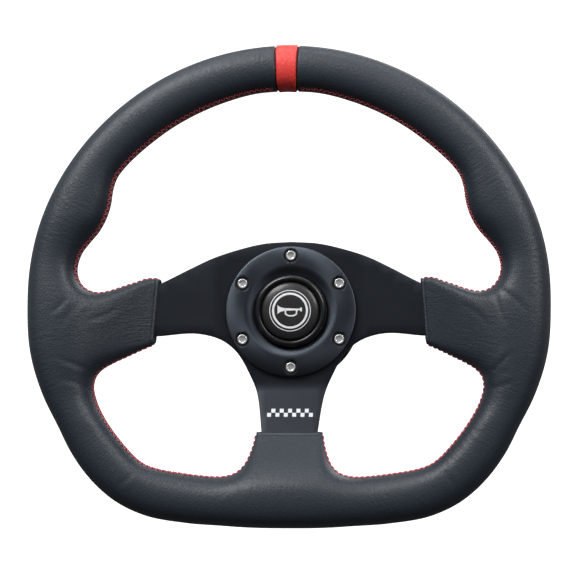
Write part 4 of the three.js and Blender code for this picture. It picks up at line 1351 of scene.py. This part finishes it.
def build_column_hub():
    rear, front = HUB_REAR, HUB_FRONT
    flange, inside = rear - 8, rear - 6
    profile = [
        (0, rear), (FLANGE_R - CHAMFER, rear), (FLANGE_R, rear - CHAMFER), (FLANGE_R, flange + CHAMFER),
        (FLANGE_R - CHAMFER, flange), (SPIGOT_R, flange), (SPIGOT_R, rear - 25.4), (19.5, rear - 25.6),
        (19.5, rear - 28.4), (SPIGOT_R, rear - 28.6), (SPIGOT_R, front + 1.8), (19.4, front), (12, front),
        (12, inside), (0, inside),
    ]
    hub = turned("column_hub_body", profile, RELEASE_BLACK, 0.25)
    teeth = prism("hub_teeth", spline_outline(22, 24), rear - 7.5, rear - 20)
    cut_away(teeth, [prism("core", circle(0, 0, 20.5, 64), rear - 5, rear - 25)])
    join_solids(hub, [teeth])
    cutters = []
    countersink = [(0, rear - 4.9), (SCREW_HOLE_R, rear - 4.9), (5.2, rear - 8.1), (0, rear - 8.1)]
    for x, z in SCREW_PLACES:
        cutters.append(prism("bolt", circle(x, z, SCREW_HOLE_R, 32), rear + 2, rear - 10))
        sink = turned("countersink", countersink, segments=32)
        sink.data.transform(Matrix.Translation((x * MM, 0, z * MM)))
        cutters.append(sink)
    cutters.append(prism("lead_hole", circle(7, 0, 2.5, 32), rear + 2, rear - 7))
    cut_away(hub, cutters)
    soften_edges(hub, 0.2)
    fit(hub, "column", "satin_black_anodised", "column_hub")


def coil_points(radius, y0, y1, turns):
    """A compression spring's line, with its end turns lying flat."""
    closed, steps = 0.75, 28
    points = []
    for t in np.linspace(0, turns, int(turns * steps) + 1):
        share = np.clip((t - closed) / (turns - 2 * closed), 0, 1)
        a = 2 * math.pi * t
        points.append((radius * math.cos(a), y0 + (y1 - y0) * share, radius * math.sin(a)))
    return points


def build_springs():
    """Each spring is a fixed coil in place of its frame node, between the two bodies that it pushes apart."""
    for name, node, radius, wire, turns, front_body, rear_body in (
        ("return_spring", "collar_spring", 29.3, 0.9, 4.5, "wheel", "collar"),
        ("button_spring", "horn_spring", 5.0, 0.55, 5.0, "horn_button", "wheel"),
    ):
        low, high = extent(node, 1)
        coil = sweep(coil_points(radius, high - wire, low + wire, turns), wire, 10)
        piece = make_object(name, *coil, SPRING_STEEL)
        face_out(piece)
        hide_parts(node)
        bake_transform(piece)


def build_small_turned():
    """Round inner pieces, turned finely in place of the frame's coarse ones."""
    front, rear = extent("horn_cup", 1)
    floor = rear - 1.5
    profile = [(4, rear), (22.5, rear), (22.5, front), (19.9, front), (19.9, floor), (4, floor)]
    cup = turned("button_cup", profile, NYLON, 0.3, 96)
    fit(cup, "wheel", "nylon", "horn_cup")
    low, high = extent("collar_snap_ring", 1)
    profile = [(26.2, low), (29.3, low), (29.3, high), (26.2, high)]
    snap = turned("snap_ring", profile, SPRING_STEEL, 0.2, 96)
    cut_away(snap, [prism("split", [(-3, -24), (3, -24), (3, -32), (-3, -32)], low - 1, high + 1)])
    fit(snap, "wheel", "spring_steel", "collar_snap_ring")


def dress_nodes():
    """Better finishes for the nodes that keep their CAD shape."""
    looks = {
        BARE_ALUMINIUM: ["rim_core"],
        BRASS: ["horn_contact_fixed", "horn_contact_moving", "contact_barrel", "contact_pin", "contact_disc"],
        NYLON: ["horn_lead", "contact_carrier", "contact_insulator"],
        SPRING_STEEL: ["lock_ring"],
    }
    for material, nodes in looks.items():
        for node in nodes:
            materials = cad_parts[node].data.materials
            materials.clear()
            materials.append(material)


# ---------------------------------------------------------------- camera, lights and floor
def build_camera():
    """Looks at the rim from in front, a little from the right and from below, with a long lens."""
    distance, rise, swing, roll = 1400.0, math.radians(-4.8), math.radians(4.2), math.radians(0.1)
    target = Vector((-0.5, PLATE_BACK - 25, 13.2))
    away = Vector((math.sin(swing) * math.cos(rise), -math.cos(swing) * math.cos(rise), math.sin(rise)))
    level = Vector((math.cos(swing), math.sin(swing), 0))
    upright = level.cross(-away)
    right = level * math.cos(roll) + upright * math.sin(roll)
    up = upright * math.cos(roll) - level * math.sin(roll)
    camera = bpy.data.objects.new("camera", bpy.data.cameras.new("camera"))
    bpy.context.scene.collection.objects.link(camera)
    turn = Matrix((right, up, away)).transposed().to_4x4()
    camera.matrix_world = Matrix.Translation((target + away * distance) * MM) @ turn
    camera.data.lens = 141.7
    camera.data.sensor_width = 36.0
    camera.data.clip_start = 0.05
    camera.data.clip_end = 50
    bpy.context.scene.camera = camera


def area_light(name, place, size, power):
    """A rectangular light that points at the middle of the rim."""
    data = bpy.data.lights.new(name, "AREA")
    data.shape = "RECTANGLE"
    data.size, data.size_y = size
    data.energy = power
    light = bpy.data.objects.new(name, data)
    bpy.context.scene.collection.objects.link(light)
    light.location = place
    light.rotation_mode = "QUATERNION"
    light.rotation_quaternion = (Vector((0, RIM_Y * MM, 0)) - Vector(place)).to_track_quat("-Z", "Y")


def flat_sheet(name, corners, material):
    """Part of the stage: the camera sees it, and it isn't reflected."""
    mesh = bpy.data.meshes.new(name)
    mesh.from_pydata(corners, [], [(0, 1, 2, 3)])
    mesh.materials.append(material)
    sheet = bpy.data.objects.new(name, mesh)
    bpy.context.scene.collection.objects.link(sheet)
    sheet.visible_diffuse = False
    sheet.visible_glossy = False


def build_studio():
    """Soft light from above on both sides, a pale floor, and a white backdrop far behind."""
    bpy.context.scene.view_settings.view_transform = "Standard"
    world = bpy.data.worlds.new("studio")
    bpy.context.scene.world = world
    world.use_nodes = True
    nodes, links = world.node_tree.nodes, world.node_tree.links
    background = nodes["Background"]
    background.inputs["Color"].default_value = (0.94, 0.97, 1, 1)
    split = nodes.new("ShaderNodeSeparateXYZ")
    links.new(nodes.new("ShaderNodeTexCoord").outputs["Generated"], split.inputs["Vector"])
    height = nodes.new("ShaderNodeMapRange")
    height.inputs["From Min"].default_value = -0.3
    height.inputs["To Min"].default_value = 0.08
    height.inputs["To Max"].default_value = 0.7
    links.new(split.outputs["Z"], height.inputs["Value"])
    links.new(height.outputs["Result"], background.inputs["Strength"])
    area_light("key", (-0.8, -1.2, 1.2), (1.1, 0.8), 26)
    area_light("fill", (1.1, -1.2, 0.9), (0.9, 0.9), 14)
    area_light("top", (0.0, -0.2, 1.4), (1.4, 0.8), 7)
    area_light("behind", (0.5, 1.3, 0.9), (1.0, 1.0), 5)
    reach, low, far, wide, tall = 14.0, -0.34, 4.0, 6.0, 5.0
    white = Shader("white_surround", (1, 1, 1), 1.0)
    white.bsdf.inputs["Emission Color"].default_value = (1, 1, 1, 1)
    white.bsdf.inputs["Emission Strength"].default_value = 1.0
    floor = [(-reach, -reach, low), (reach, -reach, low), (reach, reach, low), (-reach, reach, low)]
    backdrop = [(-wide, far, low), (wide, far, low), (wide, far, tall), (-wide, far, tall)]
    flat_sheet("floor", floor, white.material)
    flat_sheet("backdrop", backdrop, white.material)


# ---------------------------------------------------------------- build
build_camera()
build_studio()
grip_field, cover, centre_band = build_grip()
fit(cover, "wheel", "black_leather", "leather_wrap")
fit(centre_band, "wheel", "red_leather", "centre_marker_band")
build_foam(grip_field)
build_stitching(grip_field)
build_plate()
build_chequer()
build_horn_ring()
build_shade_liners()
build_screws()
build_horn_button()
build_collar()
build_release_body()
build_column_hub()
build_springs()
build_small_turned()
dress_nodes()
